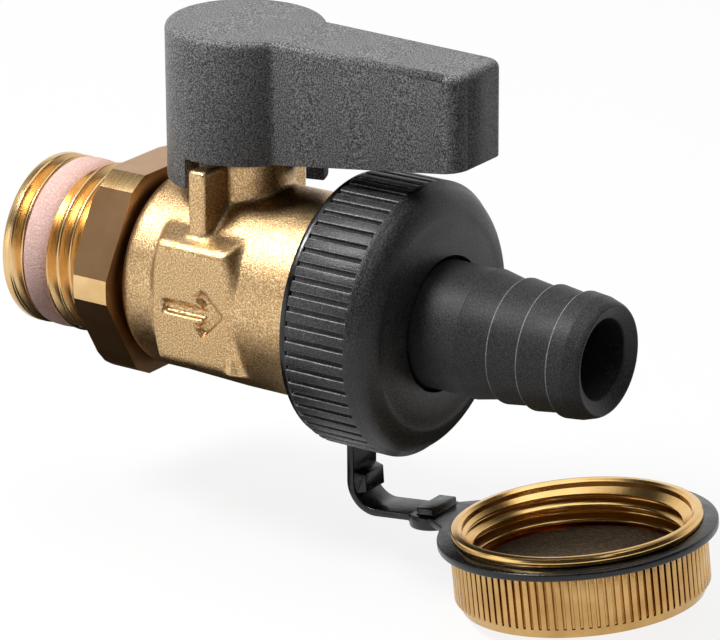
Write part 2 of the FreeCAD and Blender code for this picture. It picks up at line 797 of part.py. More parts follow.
os.makedirs("parts", exist_ok=True)
for name, make in PARTS.items():
    solid = make()
    solid.exportStep("parts/" + name + ".step")
    print(name, "solids", len(solid.Solids), "valid", solid.isValid(), "volume", round(solid.Volume, 1))
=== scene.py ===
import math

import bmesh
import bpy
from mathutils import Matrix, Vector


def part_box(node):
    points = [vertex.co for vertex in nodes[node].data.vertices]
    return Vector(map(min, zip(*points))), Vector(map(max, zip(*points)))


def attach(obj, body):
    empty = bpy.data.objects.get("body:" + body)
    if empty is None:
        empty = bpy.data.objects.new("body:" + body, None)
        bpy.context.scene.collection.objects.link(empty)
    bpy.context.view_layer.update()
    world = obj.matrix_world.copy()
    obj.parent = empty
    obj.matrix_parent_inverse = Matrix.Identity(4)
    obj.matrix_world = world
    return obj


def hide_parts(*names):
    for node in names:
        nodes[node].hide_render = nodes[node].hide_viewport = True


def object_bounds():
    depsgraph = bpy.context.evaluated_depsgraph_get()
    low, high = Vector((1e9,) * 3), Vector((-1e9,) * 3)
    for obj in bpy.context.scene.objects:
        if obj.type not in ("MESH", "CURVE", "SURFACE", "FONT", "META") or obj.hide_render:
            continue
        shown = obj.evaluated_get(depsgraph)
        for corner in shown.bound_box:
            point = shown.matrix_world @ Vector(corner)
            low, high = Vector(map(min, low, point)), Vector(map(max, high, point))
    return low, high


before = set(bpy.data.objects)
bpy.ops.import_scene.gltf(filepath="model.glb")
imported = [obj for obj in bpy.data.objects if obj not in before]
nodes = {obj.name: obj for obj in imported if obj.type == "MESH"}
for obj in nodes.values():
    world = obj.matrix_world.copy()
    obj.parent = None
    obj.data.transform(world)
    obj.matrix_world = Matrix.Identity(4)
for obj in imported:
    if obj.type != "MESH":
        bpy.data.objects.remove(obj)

# %% [markdown]
# # A drain cock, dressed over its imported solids
#
# The valve is already a set of true solids. This lesson gives it what a solid modeller leaves out:
# the grain of a forging, cut threads, softened moulded edges, and finishes that answer to light.
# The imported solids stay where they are. A piece that needs more detail is made again here, at the
# same place and size, and stands in for its solid. The valve's lengths are written in millimetres,
# and MM turns them into Blender's metres.

MM = 0.001
X_AXIS = Vector((1, 0, 0))
Y_AXIS = Vector((0, 1, 0))
Z_AXIS = Vector((0, 0, 1))
ORIGIN = Vector((0, 0, 0))
FULL_TURN = 2 * math.pi

cad_low, cad_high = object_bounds()
print("packed box, mm:", [round(v / MM, 1) for v in (cad_high - cad_low)])

# %% [markdown]
# ## Tools for shaping
#
# Nearly every part of a valve is turned on a lathe, so the main tool here is a lathe: a few points
# drawn in a half plane, spun about an axis. The spin's points on the axis are doubles, so they are
# welded before the faces are turned outwards. Edges are softened by the bevel operator, but only
# where two faces meet at more than some angle, so that round walls stay as they are.

# %% A lathe and a softener
LATHE_STEPS = 128
WELD = 0.002
SHARP_ANGLE = 35


def closed(bm, reach=WELD):
    """Welds what meets and turns every face outwards."""
    bmesh.ops.remove_doubles(bm, verts=bm.verts, dist=reach * MM)
    bmesh.ops.dissolve_degenerate(bm, edges=bm.edges, dist=reach * MM)
    bmesh.ops.recalc_face_normals(bm, faces=bm.faces)
    return bm


def lathe(profile, axis=X_AXIS, steps=LATHE_STEPS):
    """A closed (along, radius) outline in mm, spun once about the axis through the origin."""
    bm = bmesh.new()
    across = Z_AXIS if axis == X_AXIS else X_AXIS
    points = [bm.verts.new((axis * along + across * radius) * MM) for along, radius in profile]
    edges = [bm.edges.new(pair) for pair in zip(points, points[1:] + points[:1])]
    bmesh.ops.spin(
        bm, geom=points + edges, cent=ORIGIN, axis=axis, dvec=ORIGIN,
        angle=FULL_TURN, steps=steps, use_merge=True, use_duplicate=False)
    return closed(bm)


def round_edges(bm, edges, width, segments):
    bmesh.ops.bevel(
        bm, geom=edges, offset=width * MM, offset_type="OFFSET", affect="EDGES",
        segments=segments, profile=0.5, material=-1, clamp_overlap=True)
    return bm


def soften(bm, width, angle=SHARP_ANGLE, segments=2):
    """Rounds the edges that are sharper than an angle."""
    sharp = [
        edge for edge in bm.edges
        if edge.is_manifold and edge.calc_face_angle() > math.radians(angle)
    ]
    return round_edges(bm, sharp, width, segments)


print("one lathe step:", round(360 / LATHE_STEPS, 2), "degrees")

# %% [markdown]
# Cutting and joining go through Blender's Boolean modifier, which keeps each result a closed skin. A
# modifier works on an object and not on a bmesh, so each bmesh lies on a bench while it is worked
# on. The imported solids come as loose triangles, so a copy of one is welded first and its flat faces
# are made whole again.

# %% A bench for modifiers
SAME_PLANE = 0.4


def workbench(bm):
    """Lays a bmesh on the bench as an object, so that modifiers can reach it."""
    mesh = bpy.data.meshes.new("bench")
    bm.to_mesh(mesh)
    bm.free()
    bench = bpy.data.objects.new("bench", mesh)
    bpy.context.scene.collection.objects.link(bench)
    return bench


def clear(bench):
    mesh = bench.data
    bpy.data.objects.remove(bench)
    bpy.data.meshes.remove(mesh)


def worked(bm, *steps):
    """Passes a bmesh through modifiers, each a (kind, settings) pair, and gives back the result."""
    bench = workbench(bm)
    for kind, settings in steps:
        modifier = bench.modifiers.new(kind.lower(), kind)
        for setting, value in settings.items():
            setattr(modifier, setting, value)
    result = bmesh.new()
    result.from_object(bench, bpy.context.evaluated_depsgraph_get())
    clear(bench)
    return result


def joined(bm, tool, operation):
    """Adds, cuts or trims one closed skin with another."""
    bench = workbench(tool)
    result = worked(bm, ("BOOLEAN", {"operation": operation, "object": bench, "solver": "MANIFOLD"}))
    clear(bench)
    return result


def merged_copy(node):
    """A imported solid's mesh with its loose triangles welded and its flat faces whole."""
    bm = bmesh.new()
    bm.from_mesh(nodes[node].data)
    bmesh.ops.remove_doubles(bm, verts=bm.verts, dist=WELD * MM)
    bmesh.ops.dissolve_limit(
        bm, angle_limit=math.radians(SAME_PLANE), use_dissolve_boundaries=False,
        verts=bm.verts, edges=bm.edges)
    return bm


print("packed solids to work from:", len(nodes))

# %% [markdown]
# A finished piece rides on one body of the valve, stands for one solid and takes its finish. One
# function does this for every piece, so that none is left out. Some pieces show more than one
# finish, and a second function gives one to the faces that a test picks.

# %% Handing a piece over


def publish(bm, name, body, slot, finish, *stands_for, smooth=SHARP_ANGLE):
    """Hands a finished piece to the valve: its body and the solid it stands for. The slot is not used."""
    mesh = bpy.data.meshes.new(name)
    bm.to_mesh(mesh)
    bm.free()
    mesh.shade_smooth()
    mesh.set_sharp_from_angle(angle=math.radians(smooth))
    mesh.materials.clear()    # this also sets every face to the first finish
    mesh.materials.append(finish)
    piece = bpy.data.objects.new(name, mesh)
    bpy.context.scene.collection.objects.link(piece)
    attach(piece, body)
    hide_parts(*stands_for)
    mesh.calc_loop_triangles()
    print(name, "rides on", body, "with", len(mesh.loop_triangles), "triangles")
    return piece


def second_finish(piece, finish, picks):
    """Gives one more finish to the faces whose centre, in mm, and normal pass a test."""
    piece.data.materials.append(finish)
    picked = [polygon for polygon in piece.data.polygons if picks(polygon.center / MM, polygon.normal)]
    for polygon in picked:
        polygon.material_index = len(piece.data.materials) - 1
    print(piece.name, "shows", finish.name, "on", len(picked), "faces")


# %% [markdown]
# ## Cut threads
#
# A pipe thread is a groove wound round a bar. The spin operator can also move a little along its
# axis at every step, and then a single tooth outline becomes a helix. It is wound past both ends,
# cut square with bisect_plane and filled, which leaves the running-out tooth that a real thread
# shows at its end.

# %% A threaded bar
THREAD_PITCH = 1.814
THREAD_ROUND = 0.1373    # the round of crest and root, as a share of the pitch
THREAD_DEPTH = 0.6403    # from root to crest, as a share of the pitch
FLANK_ANGLE = 62.5
ROUND_STEPS = 3
THREAD_STEPS = 96
SPARE_TURNS = 2
TURN_WELD = 0.004
END_WELD = 0.0005
CUT_SLACK = 0.0001
RIM_SLACK = 0.001


def tooth_outline():
    """One tooth from root to root, as shares of the pitch: along the bar and up from the root."""
    angles = [math.radians(FLANK_ANGLE * step / ROUND_STEPS) for step in range(ROUND_STEPS + 1)]
    root = [(THREAD_ROUND * math.sin(angle), THREAD_ROUND * (1 - math.cos(angle))) for angle in angles]
    crest = [(0.5 - along, THREAD_DEPTH - up) for along, up in reversed(root)]
    rising = root + crest
    return rising + [(1 - along, up) for along, up in reversed(rising[:-1])]


def threaded_bar(crest, start, end, crest_at, axis=X_AXIS):
    """A closed bar with a right-hand thread. Lengths in mm; crest_at is a crest's station at the seam."""
    bm = bmesh.new()
    across = Z_AXIS if axis == X_AXIS else X_AXIS
    root = crest - THREAD_DEPTH * THREAD_PITCH
    before = math.ceil((crest_at - start) / THREAD_PITCH) + SPARE_TURNS
    first = crest_at - (before + 0.5) * THREAD_PITCH
    turns = math.ceil((end - first) / THREAD_PITCH) + 1
    points = [
        bm.verts.new((axis * (first + along * THREAD_PITCH) + across * (root + up * THREAD_PITCH)) * MM)
        for along, up in tooth_outline()
    ]
    edges = [bm.edges.new(pair) for pair in zip(points, points[1:])]
    bmesh.ops.spin(
        bm, geom=points + edges, cent=ORIGIN, axis=axis, dvec=axis * (THREAD_PITCH / THREAD_STEPS * MM),
        angle=FULL_TURN * turns, steps=THREAD_STEPS * turns, use_merge=False, use_duplicate=False)
    bmesh.ops.remove_doubles(bm, verts=bm.verts, dist=TURN_WELD * MM)
    for station, outward in ((start, -1), (end, 1)):
        bmesh.ops.bisect_plane(
            bm, geom=bm.verts[:] + bm.edges[:] + bm.faces[:], dist=CUT_SLACK * MM,
            plane_co=axis * (station * MM), plane_no=axis * outward, clear_outer=True)
        rim = [
            edge for edge in bm.edges
            if edge.is_boundary
            and all(abs(vert.co.dot(axis) - station * MM) < RIM_SLACK * MM for vert in edge.verts)
        ]
        bmesh.ops.edgeloop_fill(bm, edges=rim)
    return closed(bm, END_WELD)


print("thread depth, mm:", round(THREAD_DEPTH * THREAD_PITCH, 3))

# %% [markdown]
# ## Grain, shared by every finish
#
# Blasted brass and moulded plastic both get their look from fine grain: tiny pits that break up the
# highlight. It could be drawn anew in each material. One node group makes it instead, so that each
# finish only says how large its grain is. It gives a shade between 0 and 1 for the colour, broad
# patches for the roughness, and a height for the bump.

# %% The grain group
SPECK_CONTRAST = 1.5
PIT_HEIGHT = 0.6


def socket(group, name, way, kind="NodeSocketFloat", value=None):
    made = group.interface.new_socket(name=name, in_out=way, socket_type=kind)
    if value is not None:
        made.default_value = value


def add(tree, kind, place, dials=None, **settings):
    """A new node at a place, with its settings and with constants, the dials, on its sockets."""
    node = tree.nodes.new(kind)
    node.location = place
    for name, value in settings.items():
        setattr(node, name, value)
    for name, value in (dials or {}).items():
        node.inputs[name].default_value = value
    return node


def make_grain_group():
    group = bpy.data.node_groups.new("surface_grain", "ShaderNodeTree")
    socket(group, "Place", "INPUT", "NodeSocketVector")
    socket(group, "Grains per metre", "INPUT", value=4000.0)
    socket(group, "Patches per metre", "INPUT", value=300.0)
    for name in ("Shade", "Patch", "Height"):
        socket(group, name, "OUTPUT")
    inside = add(group, "NodeGroupInput", (-600, 0))
    fine = add(group, "ShaderNodeTexNoise", (-350, 200), {"Detail": 2.0, "Roughness": 0.65})
    pits = add(group, "ShaderNodeTexVoronoi", (-350, -50), feature="F1", distance="EUCLIDEAN")
    wide = add(group, "ShaderNodeTexNoise", (-350, -350), {"Detail": 3.0})
    stretch = add(group, "ShaderNodeMapRange", (-100, 200), {"From Min": 0.36, "From Max": 0.64})
    speck = add(group, "ShaderNodeMath", (100, 250), {1: SPECK_CONTRAST}, operation="POWER")
    spread = add(group, "ShaderNodeMapRange", (-100, -350), {"From Min": 0.35, "From Max": 0.65})
    rough = add(group, "ShaderNodeMath", (100, 0), {1: PIT_HEIGHT}, operation="MULTIPLY_ADD")
    outside = add(group, "NodeGroupOutput", (350, 0))
    link = group.links.new
    for texture in (fine, pits):
        link(inside.outputs["Place"], texture.inputs["Vector"])
        link(inside.outputs["Grains per metre"], texture.inputs["Scale"])
    link(inside.outputs["Place"], wide.inputs["Vector"])
    link(inside.outputs["Patches per metre"], wide.inputs["Scale"])
    link(fine.outputs["Fac"], stretch.inputs["Value"])
    link(wide.outputs["Fac"], spread.inputs["Value"])
    link(pits.outputs["Distance"], rough.inputs[0])
    link(stretch.outputs["Result"], rough.inputs[2])
    link(stretch.outputs["Result"], speck.inputs[0])
    link(speck.outputs["Value"], outside.inputs["Shade"])
    link(spread.outputs["Result"], outside.inputs["Patch"])
    link(rough.outputs["Value"], outside.inputs["Height"])
    return group


grain_group = make_grain_group()
print("node group:", grain_group.name)

# %% [markdown]
# A turning tool leaves fine rings round the axis of its work. Noise in one dimension, read along that
# axis, gives them: it is the same all round and changes at random from ring to ring, as real tool
# marks do. A wave texture would be too even.

# %% The turning group


def make_turning_group():
    group = bpy.data.node_groups.new("turning_marks", "ShaderNodeTree")
    socket(group, "Place", "INPUT", "NodeSocketVector")
    socket(group, "Axis", "INPUT", "NodeSocketVector", (1.0, 0.0, 0.0))
    socket(group, "Marks per metre", "INPUT", value=9000.0)
    socket(group, "Mark", "OUTPUT")
    inside = add(group, "NodeGroupInput", (-600, 0))
    along = add(group, "ShaderNodeVectorMath", (-400, 0), operation="DOT_PRODUCT")
    marks = add(group, "ShaderNodeTexNoise", (-200, 0), {"Detail": 2.0}, noise_dimensions="1D")
    stretch = add(group, "ShaderNodeMapRange", (50, 0), {"From Min": 0.3, "From Max": 0.7})
    outside = add(group, "NodeGroupOutput", (300, 0))
    link = group.links.new
    link(inside.outputs["Place"], along.inputs[0])
    link(inside.outputs["Axis"], along.inputs[1])
    link(along.outputs["Value"], marks.inputs["W"])
    link(inside.outputs["Marks per metre"], marks.inputs["Scale"])
    link(marks.outputs["Fac"], stretch.inputs["Value"])
    link(stretch.outputs["Result"], outside.inputs["Mark"])
    return group


turning_group = make_turning_group()
print("node group:", turning_group.name)

# %% [markdown]
# ## Finishes
#
# Each finish is one Principled shader. The colour runs between two tones of the same stuff, the
# roughness opens and closes a little, and a bump lifts the surface by a few hundredths of a
# millimetre at most. Tones are written as a screen shows them, because they can be judged that way,
# and are turned into light values here.

# %% What all finishes share


def linear(colour):
    """A colour as a screen shows it, 0 to 255, as the light values that shaders use."""
    shares = [channel / 255 for channel in colour]
    values = [s / 12.92 if s <= 0.04045 else ((s + 0.055) / 1.055) ** 2.4 for s in shares]
    return (*values, 1.0)


def new_finish(name):
    """An empty material with one Principled shader."""
    finish = bpy.data.materials.new(name)
    finish.use_nodes = True
    tree = finish.node_tree
    tree.nodes.clear()
    shader = add(tree, "ShaderNodeBsdfPrincipled", (400, 0))
    output = add(tree, "ShaderNodeOutputMaterial", (700, 0))
    tree.links.new(shader.outputs["BSDF"], output.inputs["Surface"])
    return finish, shader


def shared_effect(tree, place, group, dials):
    """A node group that reads the piece's own coordinates."""
    own_place = add(tree, "ShaderNodeTexCoord", (place[0] - 250, place[1]))
    effect = add(tree, "ShaderNodeGroup", place, dials, node_tree=group)
    tree.links.new(own_place.outputs["Object"], effect.inputs["Place"])
    return effect


def link_looks(tree, shader, tone_share, tones, rough_share, roughness, height, lift):
    """Links two tones, a range of roughness and a bump, with its lift in mm, to the shader."""
    tone = add(
        tree, "ShaderNodeMix", (-250, 250), {"A": linear(tones[0]), "B": linear(tones[1])},
        data_type="RGBA", blend_type="MIX")
    sheen = add(tree, "ShaderNodeMapRange", (-250, 0), {"To Min": roughness[0], "To Max": roughness[1]})
    bump = add(tree, "ShaderNodeBump", (0, -250), {"Strength": 1.0, "Distance": lift * MM})
    tree.links.new(tone_share, tone.inputs["Factor"])
    tree.links.new(rough_share, sheen.inputs["Value"])
    tree.links.new(height, bump.inputs["Height"])
    tree.links.new(tone.outputs["Result"], shader.inputs["Base Color"])
    tree.links.new(sheen.outputs["Result"], shader.inputs["Roughness"])
    tree.links.new(bump.outputs["Normal"], shader.inputs["Normal"])


print("mid grey, 128 on a screen, is", round(linear((128, 128, 128))[0], 3), "in light")

# %% [markdown]
# Forged brass, the mouldings and the soft seals are all grained: the brass from blasting, the plastic
# from its mould, the rubber and the seal ring by nature. So they share one recipe and differ in tone,
# sheen and the size of their grain. The two pale edge finishes are painted highlights along the
# rounded edges of black mouldings.

# %% Grained finishes
PATCH = 3.0


def grained_finish(name, dark, light, roughness, grain, lift, metallic=0.0, specular=0.5):
    """grain is a size in mm, and lift is the grain's height in mm."""
    finish, shader = new_finish(name)
    tree = finish.node_tree
    per_metre = {"Grains per metre": 1 / (grain * MM), "Patches per metre": 1 / (PATCH * MM)}
    speckle = shared_effect(tree, (-550, 0), grain_group, per_metre).outputs
    link_looks(
        tree, shader, speckle["Shade"], (dark, light), speckle["Patch"], roughness, speckle["Height"], lift)
    shader.inputs["Metallic"].default_value = metallic
    shader.inputs["Specular IOR Level"].default_value = specular
    print(name, "has a grain of", grain, "mm")
    return finish


forged_brass = grained_finish(
    "forged_brass", (186, 140, 84), (250, 224, 178), (0.31, 0.38), grain=0.19, lift=0.018, metallic=1.0)
grey_lever = grained_finish(
    "grey_lever", (54, 54, 55), (172, 172, 173), (0.40, 0.46), grain=0.17, lift=0.018, specular=0.22)
black_nut = grained_finish(
    "black_nut", (14, 14, 14), (84, 84, 84), (0.38, 0.43), grain=0.19, lift=0.014)
black_tail = grained_finish(
    "black_tail", (36, 36, 37), (76, 76, 77), (0.44, 0.50), grain=0.16, lift=0.008, specular=0.24)
# A paler finish for the nut's rib edges: a painted highlight.
nut_edge_highlight = grained_finish(
    "nut_edge_highlight", (96, 96, 96), (188, 188, 188), (0.30, 0.34), grain=0.19, lift=0.014)
# A paler finish for the barbs' edges: a painted highlight.
barb_edge_highlight = grained_finish(
    "barb_edge_highlight", (112, 112, 112), (150, 150, 150), (0.40, 0.46), grain=0.3, lift=0.006)
black_tether = grained_finish(
    "black_tether", (9, 9, 10), (24, 24, 25), (0.20, 0.32), grain=0.6, lift=0.006)
pink_seal = grained_finish(
    "pink_seal", (234, 186, 174), (252, 220, 210), (0.75, 0.9), grain=0.26, lift=0.03, specular=0.25)
# The gasket's brown is its own; its tones are lifted as a painted glow from the brass cup round it.
dark_gasket = grained_finish(
    "dark_gasket", (66, 54, 40), (112, 94, 70), (0.55, 0.7), grain=0.4, lift=0.03, specular=0.3)
black_rubber = grained_finish(
    "black_rubber", (24, 24, 24), (38, 38, 38), (0.5, 0.65), grain=0.3, lift=0.01)
white_seat = grained_finish(
    "white_seat", (224, 223, 217), (240, 239, 234), (0.4, 0.5), grain=0.5, lift=0.005)

# %% [markdown]
# The turned pieces show the tool's rings in place of grain, each about its own axis; the cap's axis
# leans with the cap. The colour drifts in broad stains, as handled brass does. Drawn bar has hardly
# any rings, and the chromed ball is polished.

# %% Turned finishes
STAIN = 4.0
CAP_TILT = math.radians(6.72)
cap_axis = Vector((-math.sin(CAP_TILT), 0, math.cos(CAP_TILT)))


def turned_finish(name, dark, light, roughness, axis, marks=0.11, lift=0.0025):
    """marks is the spacing of the tool's rings in mm, and lift their height."""
    finish, shader = new_finish(name)
    tree = finish.node_tree
    per_metre = {"Axis": axis, "Marks per metre": 1 / (marks * MM)}
    mark = shared_effect(tree, (-550, 100), turning_group, per_metre).outputs["Mark"]
    stain = shared_effect(tree, (-550, -150), grain_group, {"Patches per metre": 1 / (STAIN * MM)})
    link_looks(tree, shader, stain.outputs["Patch"], (dark, light), mark, roughness, mark, lift)
    shader.inputs["Metallic"].default_value = 1.0
    print(name, "has a ring every", marks, "mm")
    return finish


tail_brass = turned_finish(
    "tail_brass", (222, 182, 124), (236, 200, 146), (0.22, 0.32), X_AXIS)
# The flats' darker brass is painted shade; their even sheen is their own.
hexagon_shade_brass = turned_finish(
    "hexagon_shade_brass", (186, 144, 102), (198, 156, 114), (0.285, 0.295), X_AXIS, marks=0.3, lift=0.0001)
# The shoulder's dark brass is painted shade for the gap behind the hexagon.
shoulder_shade_brass = turned_finish(
    "shoulder_shade_brass", (142, 112, 80), (158, 126, 92), (0.36, 0.44), X_AXIS)
cap_brass = turned_finish(
    "cap_brass", (184, 144, 88), (206, 168, 110), (0.14, 0.24), cap_axis)
# A lighter brass for the cap's lip and inside: painted glow and highlight.
painted_glow_brass = turned_finish(
    "painted_glow_brass", (230, 184, 112), (240, 198, 130), (0.16, 0.26), cap_axis)
stem_brass = turned_finish(
    "stem_brass", (206, 160, 84), (226, 182, 106), (0.18, 0.26), Z_AXIS)
ball_chrome = turned_finish(
    "ball_chrome", (216, 217, 220), (232, 233, 236), (0.05, 0.10), X_AXIS, lift=0.0003)

# %% [markdown]
# ## The forged body
#
# A forging has no sharp corners: the metal has to flow out of the die, so a rib meets a barrel in a
# soft hollow and every outer edge is a little round. That could be drawn fillet by fillet. It is
# quicker to join plain forms first and to soften the whole skin afterwards. The plain forms are a
# turned barrel, an upright neck for the stem, and a cross bar that makes both stop ribs.

# %% The forging's plain forms
BODY_START = 5.65
BODY_END_ROUND = 1.6
COLLAR = 12.02
COLLAR_END = 11.0
BARREL = 12.3
BARREL_START = 20.0
GROOVE_START = 31.9
BARREL_SPARE = 3.0
STEM_X = 16.35
NECK = 5.6
NECK_TOP = 16.2
RIB_WIDTH = 2.54
RIB_REACH = 10.3
UPRIGHT_STEPS = 96
ARC_STEPS = 6


def upright(profile, x):
    """A lathe about an upright axis at x."""
    bm = lathe(profile, axis=Z_AXIS, steps=UPRIGHT_STEPS)
    bmesh.ops.translate(bm, verts=bm.verts, vec=X_AXIS * (x * MM))
    return bm


def arc_points(centre, radius, start, end):
    """Points on an arc in the half plane, angles in degrees."""
    angles = [math.radians(start + (end - start) * step / ARC_STEPS) for step in range(ARC_STEPS + 1)]
    return [(centre[0] + radius * math.cos(a), centre[1] + radius * math.sin(a)) for a in angles]


def block(low, high):
    """A box between two corners, in mm."""
    bm = bmesh.new()
    low, high = Vector(low), Vector(high)
    bmesh.ops.create_cube(bm, size=1.0)
    bmesh.ops.scale(bm, verts=bm.verts, vec=(high - low) * MM)
    bmesh.ops.translate(bm, verts=bm.verts, vec=(low + high) / 2 * MM)
    return bm


barrel_end = GROOVE_START + BARREL_SPARE
round_centre = (BODY_START + BODY_END_ROUND, COLLAR - BODY_END_ROUND)
barrel = [(BODY_START, 0)] + arc_points(round_centre, BODY_END_ROUND, 180, 90)
barrel += [(COLLAR_END, COLLAR), (BARREL_START, BARREL), (barrel_end, BARREL), (barrel_end, 0)]
skin = lathe(barrel)
skin = joined(skin, upright([(0, 0), (0, NECK), (NECK_TOP, NECK), (NECK_TOP, 0)], STEM_X), "UNION")
ribs = block((STEM_X - RIB_WIDTH / 2, -RIB_REACH, 0), (STEM_X + RIB_WIDTH / 2, RIB_REACH, NECK_TOP))
skin = joined(skin, ribs, "UNION")
print("barrel, neck and stop ribs:", len(skin.faces), "faces")

# %% [markdown]
# The two side pads are one block through the barrel, wide at its waist and drawn in towards each
# face, because a forging needs slope to leave the die. Three outlines are bridged into a skin, the
# rim of each face is rounded, and both ends are trimmed level, inside the barrel's top and bottom.

# %% The side pads
PAD_X = 16.8
PAD_FACE = 12.35
PAD_WAIST = 6.05
PAD_END = 4.93
PAD_HEIGHT = 7.35
PAD_SIDE_SLOPE = math.tan(math.radians(11.5))
PAD_END_SLOPE = math.tan(math.radians(20.0))
PAD_SIDE_STEPS = 8
PAD_EDGE = 0.8
PAD_EDGE_STEPS = 4
PAD_EDGE_ANGLE = 20
PAD_CROWN = BARREL * math.cos(math.radians(20.0))
TRIM_LENGTH = 30
TRIM_REACH = 20


def pad_outline(bm, y):
    """The pad's outline at a depth: bowed sides and straight ends."""
    inward = PAD_FACE - abs(y)
    height = PAD_HEIGHT + inward * PAD_END_SLOPE
    loop = []
    for side in (1, -1):
        for step in range(PAD_SIDE_STEPS + 1):
            share = 2 * step / PAD_SIDE_STEPS - 1
            width = PAD_END + (PAD_WAIST - PAD_END) * (1 - share ** 2) + inward * PAD_SIDE_SLOPE
            loop.append(bm.verts.new(Vector((PAD_X + side * width, y, side * share * height)) * MM))
    return [bm.edges.new(pair) for pair in zip(loop, loop[1:] + loop[:1])]


pads = bmesh.new()
outlines = [pad_outline(pads, y) for y in (-PAD_FACE, 0, PAD_FACE)]
for near, far in zip(outlines, outlines[1:]):
    bmesh.ops.bridge_loops(pads, edges=near + far)
for outline in (outlines[0], outlines[-1]):
    bmesh.ops.edgeloop_fill(pads, edges=outline)
bmesh.ops.recalc_face_normals(pads, faces=pads.faces)
face_rims = outlines[0] + outlines[-1]
sharp_rims = [edge for edge in face_rims if edge.calc_face_angle() > math.radians(PAD_EDGE_ANGLE)]
round_edges(pads, sharp_rims, PAD_EDGE, PAD_EDGE_STEPS)
pad_trim = block((0, -TRIM_REACH, -PAD_CROWN), (TRIM_LENGTH, TRIM_REACH, PAD_CROWN))
skin = joined(skin, joined(pads, pad_trim, "INTERSECT"), "UNION")
print("with its pads:", len(skin.faces), "faces")

# %% [markdown]
# Now the skin is softened. It swells by the hollow's size, is welded by a voxel remesh and shrinks
# back, and that leaves the inner corners filled. A bevel would fail here, where so many small edges
# meet, and the remesh doesn't mind them.

# %% Filling the hollows
HOLLOW = 0.36
VOXEL = 0.19


def remesh(size):
    return ("REMESH", {"mode": "VOXEL", "voxel_size": size * MM, "adaptivity": 0.0})


def swell(height):
    return ("DISPLACE", {"strength": height * MM, "mid_level": 0.0, "direction": "NORMAL"})


skin = worked(skin, remesh(VOXEL), swell(HOLLOW), remesh(VOXEL), swell(-HOLLOW), remesh(VOXEL))
print("hollows filled:", len(skin.faces), "faces")

# %% [markdown]
# A die leaves its marks in a forging. Here a plain sunk arrow on the near pad shows the way the
# water runs. It is cut only now that the hollows are filled, so that they don't fill the arrow, and
# then the skin shrinks and swells once more, which rounds its rim with all the other outer edges.

# %% The flow arrow, sunk into the pad
ARROW_DEPTH = 0.9
ARROW_DROP = -0.4
ARROW_TIP = 4.4
ARROW_TAIL = -4.2
ARROW_HEAD = 2.8
STROKE = 1.35
CUTTER_LENGTH = 2.0
OUTER_ROUND = 0.22

half = STROKE / 2
across_stroke = STROKE / math.sqrt(2)
barb = (ARROW_TIP - ARROW_HEAD, ARROW_HEAD)
barb_inside = (barb[0] - across_stroke, barb[1] - across_stroke)
throat = (barb_inside[0] + barb_inside[1] - half, half)
upper_half = [(ARROW_TAIL, half), throat, barb_inside, barb]
arrow_outline = upper_half + [(ARROW_TIP, 0)] + [(x, -z) for x, z in reversed(upper_half)]
arrow = bmesh.new()
corners = [
    arrow.verts.new(Vector((PAD_X + x, -PAD_FACE + ARROW_DEPTH, ARROW_DROP + z)) * MM)
    for x, z in arrow_outline
]
drawn = bmesh.ops.extrude_face_region(arrow, geom=[arrow.faces.new(corners)])
lifted = [item for item in drawn["geom"] if isinstance(item, bmesh.types.BMVert)]
bmesh.ops.translate(arrow, verts=lifted, vec=Y_AXIS * (-CUTTER_LENGTH * MM))
bmesh.ops.recalc_face_normals(arrow, faces=arrow.faces)
skin = joined(skin, arrow, "DIFFERENCE")
skin = worked(
    skin, remesh(VOXEL), swell(-OUTER_ROUND), remesh(VOXEL), swell(OUTER_ROUND), remesh(VOXEL),
    ("SMOOTH", {"factor": 0.5, "iterations": 2}))
print("arrow cut", ARROW_DEPTH, "mm deep; skin:", len(skin.faces), "faces")

# %% [markdown]
# The outlet's thread and the bores are cut by a tool after forging, so they stay crisp and come after
# the softening. The forging's end is cut off square, a plain groove and a threaded bar are joined on,
# the bar with a chamfer at its end, and then the stepped bores for ball, seats and stem are taken out.

# %% Outlet thread and bores
END_CUT = (20.0, 45.0)
GROOVE = 12.05
GROOVE_END = 33.4
GROOVE_LAP = 1.0
OUTLET_CREST = 13.2205
OUTLET_START = 33.0
OUTLET_END = 38.6
LAST_CREST = 1.0
OUTLET_CHAMFER = [(30, 0), (30, 13.3), (37.9, 13.3), (39.0, 12.2), (39.0, 0)]
WATERWAY = 5.0
SEAT_POCKET = 8.4
SPIGOT_BORE = 9.95
BODY_BORE = [
    (4.0, 0), (4.0, SPIGOT_BORE), (12.05, SPIGOT_BORE), (12.05, SEAT_POCKET), (23.48, SEAT_POCKET),
    (23.48, WATERWAY), (42.0, WATERWAY), (42.0, 0),
]
STEM_BORE = [(0, 0), (0, 4.55), (9.96, 4.55), (9.96, 3.55), (20.0, 3.55), (20.0, 0)]


def bar(radius, start, end):
    return lathe([(start, 0), (start, radius), (end, radius), (end, 0)])


cut_radius, cut_end = END_CUT
skin = joined(skin, bar(cut_radius, GROOVE_START, cut_end), "DIFFERENCE")
skin = joined(skin, bar(GROOVE, GROOVE_START - GROOVE_LAP, GROOVE_END), "UNION")
outlet = threaded_bar(OUTLET_CREST, OUTLET_START, OUTLET_END, crest_at=OUTLET_END - LAST_CREST)
outlet = joined(outlet, lathe(OUTLET_CHAMFER), "INTERSECT")
skin = joined(skin, outlet, "UNION")
skin = joined(skin, lathe(BODY_BORE), "DIFFERENCE")
skin = joined(skin, upright(STEM_BORE, STEM_X), "DIFFERENCE")
publish(skin, "forged_body", "valve", "forged_brass", forged_brass, "body", smooth=50)

# %% [markdown]
# ## The inlet tail
#
# The tail is turned from hexagon bar, and the hexagon is what a spanner grips. A cone with six sides
# and equal ends is a hexagon bar. Its corners are turned down at the front: only what the bar and a
# lathe shape have in common is kept, as if a tool had passed round it.

# %% The hexagon
HEX_LENGTH = 5.3
HEX_FLATS = 25.0
HEX_TRIM = [(-1, 0), (-1, 12.16), (0.5, 13.66), (6, 13.66), (6, 0)]
FINE_STEPS = 192

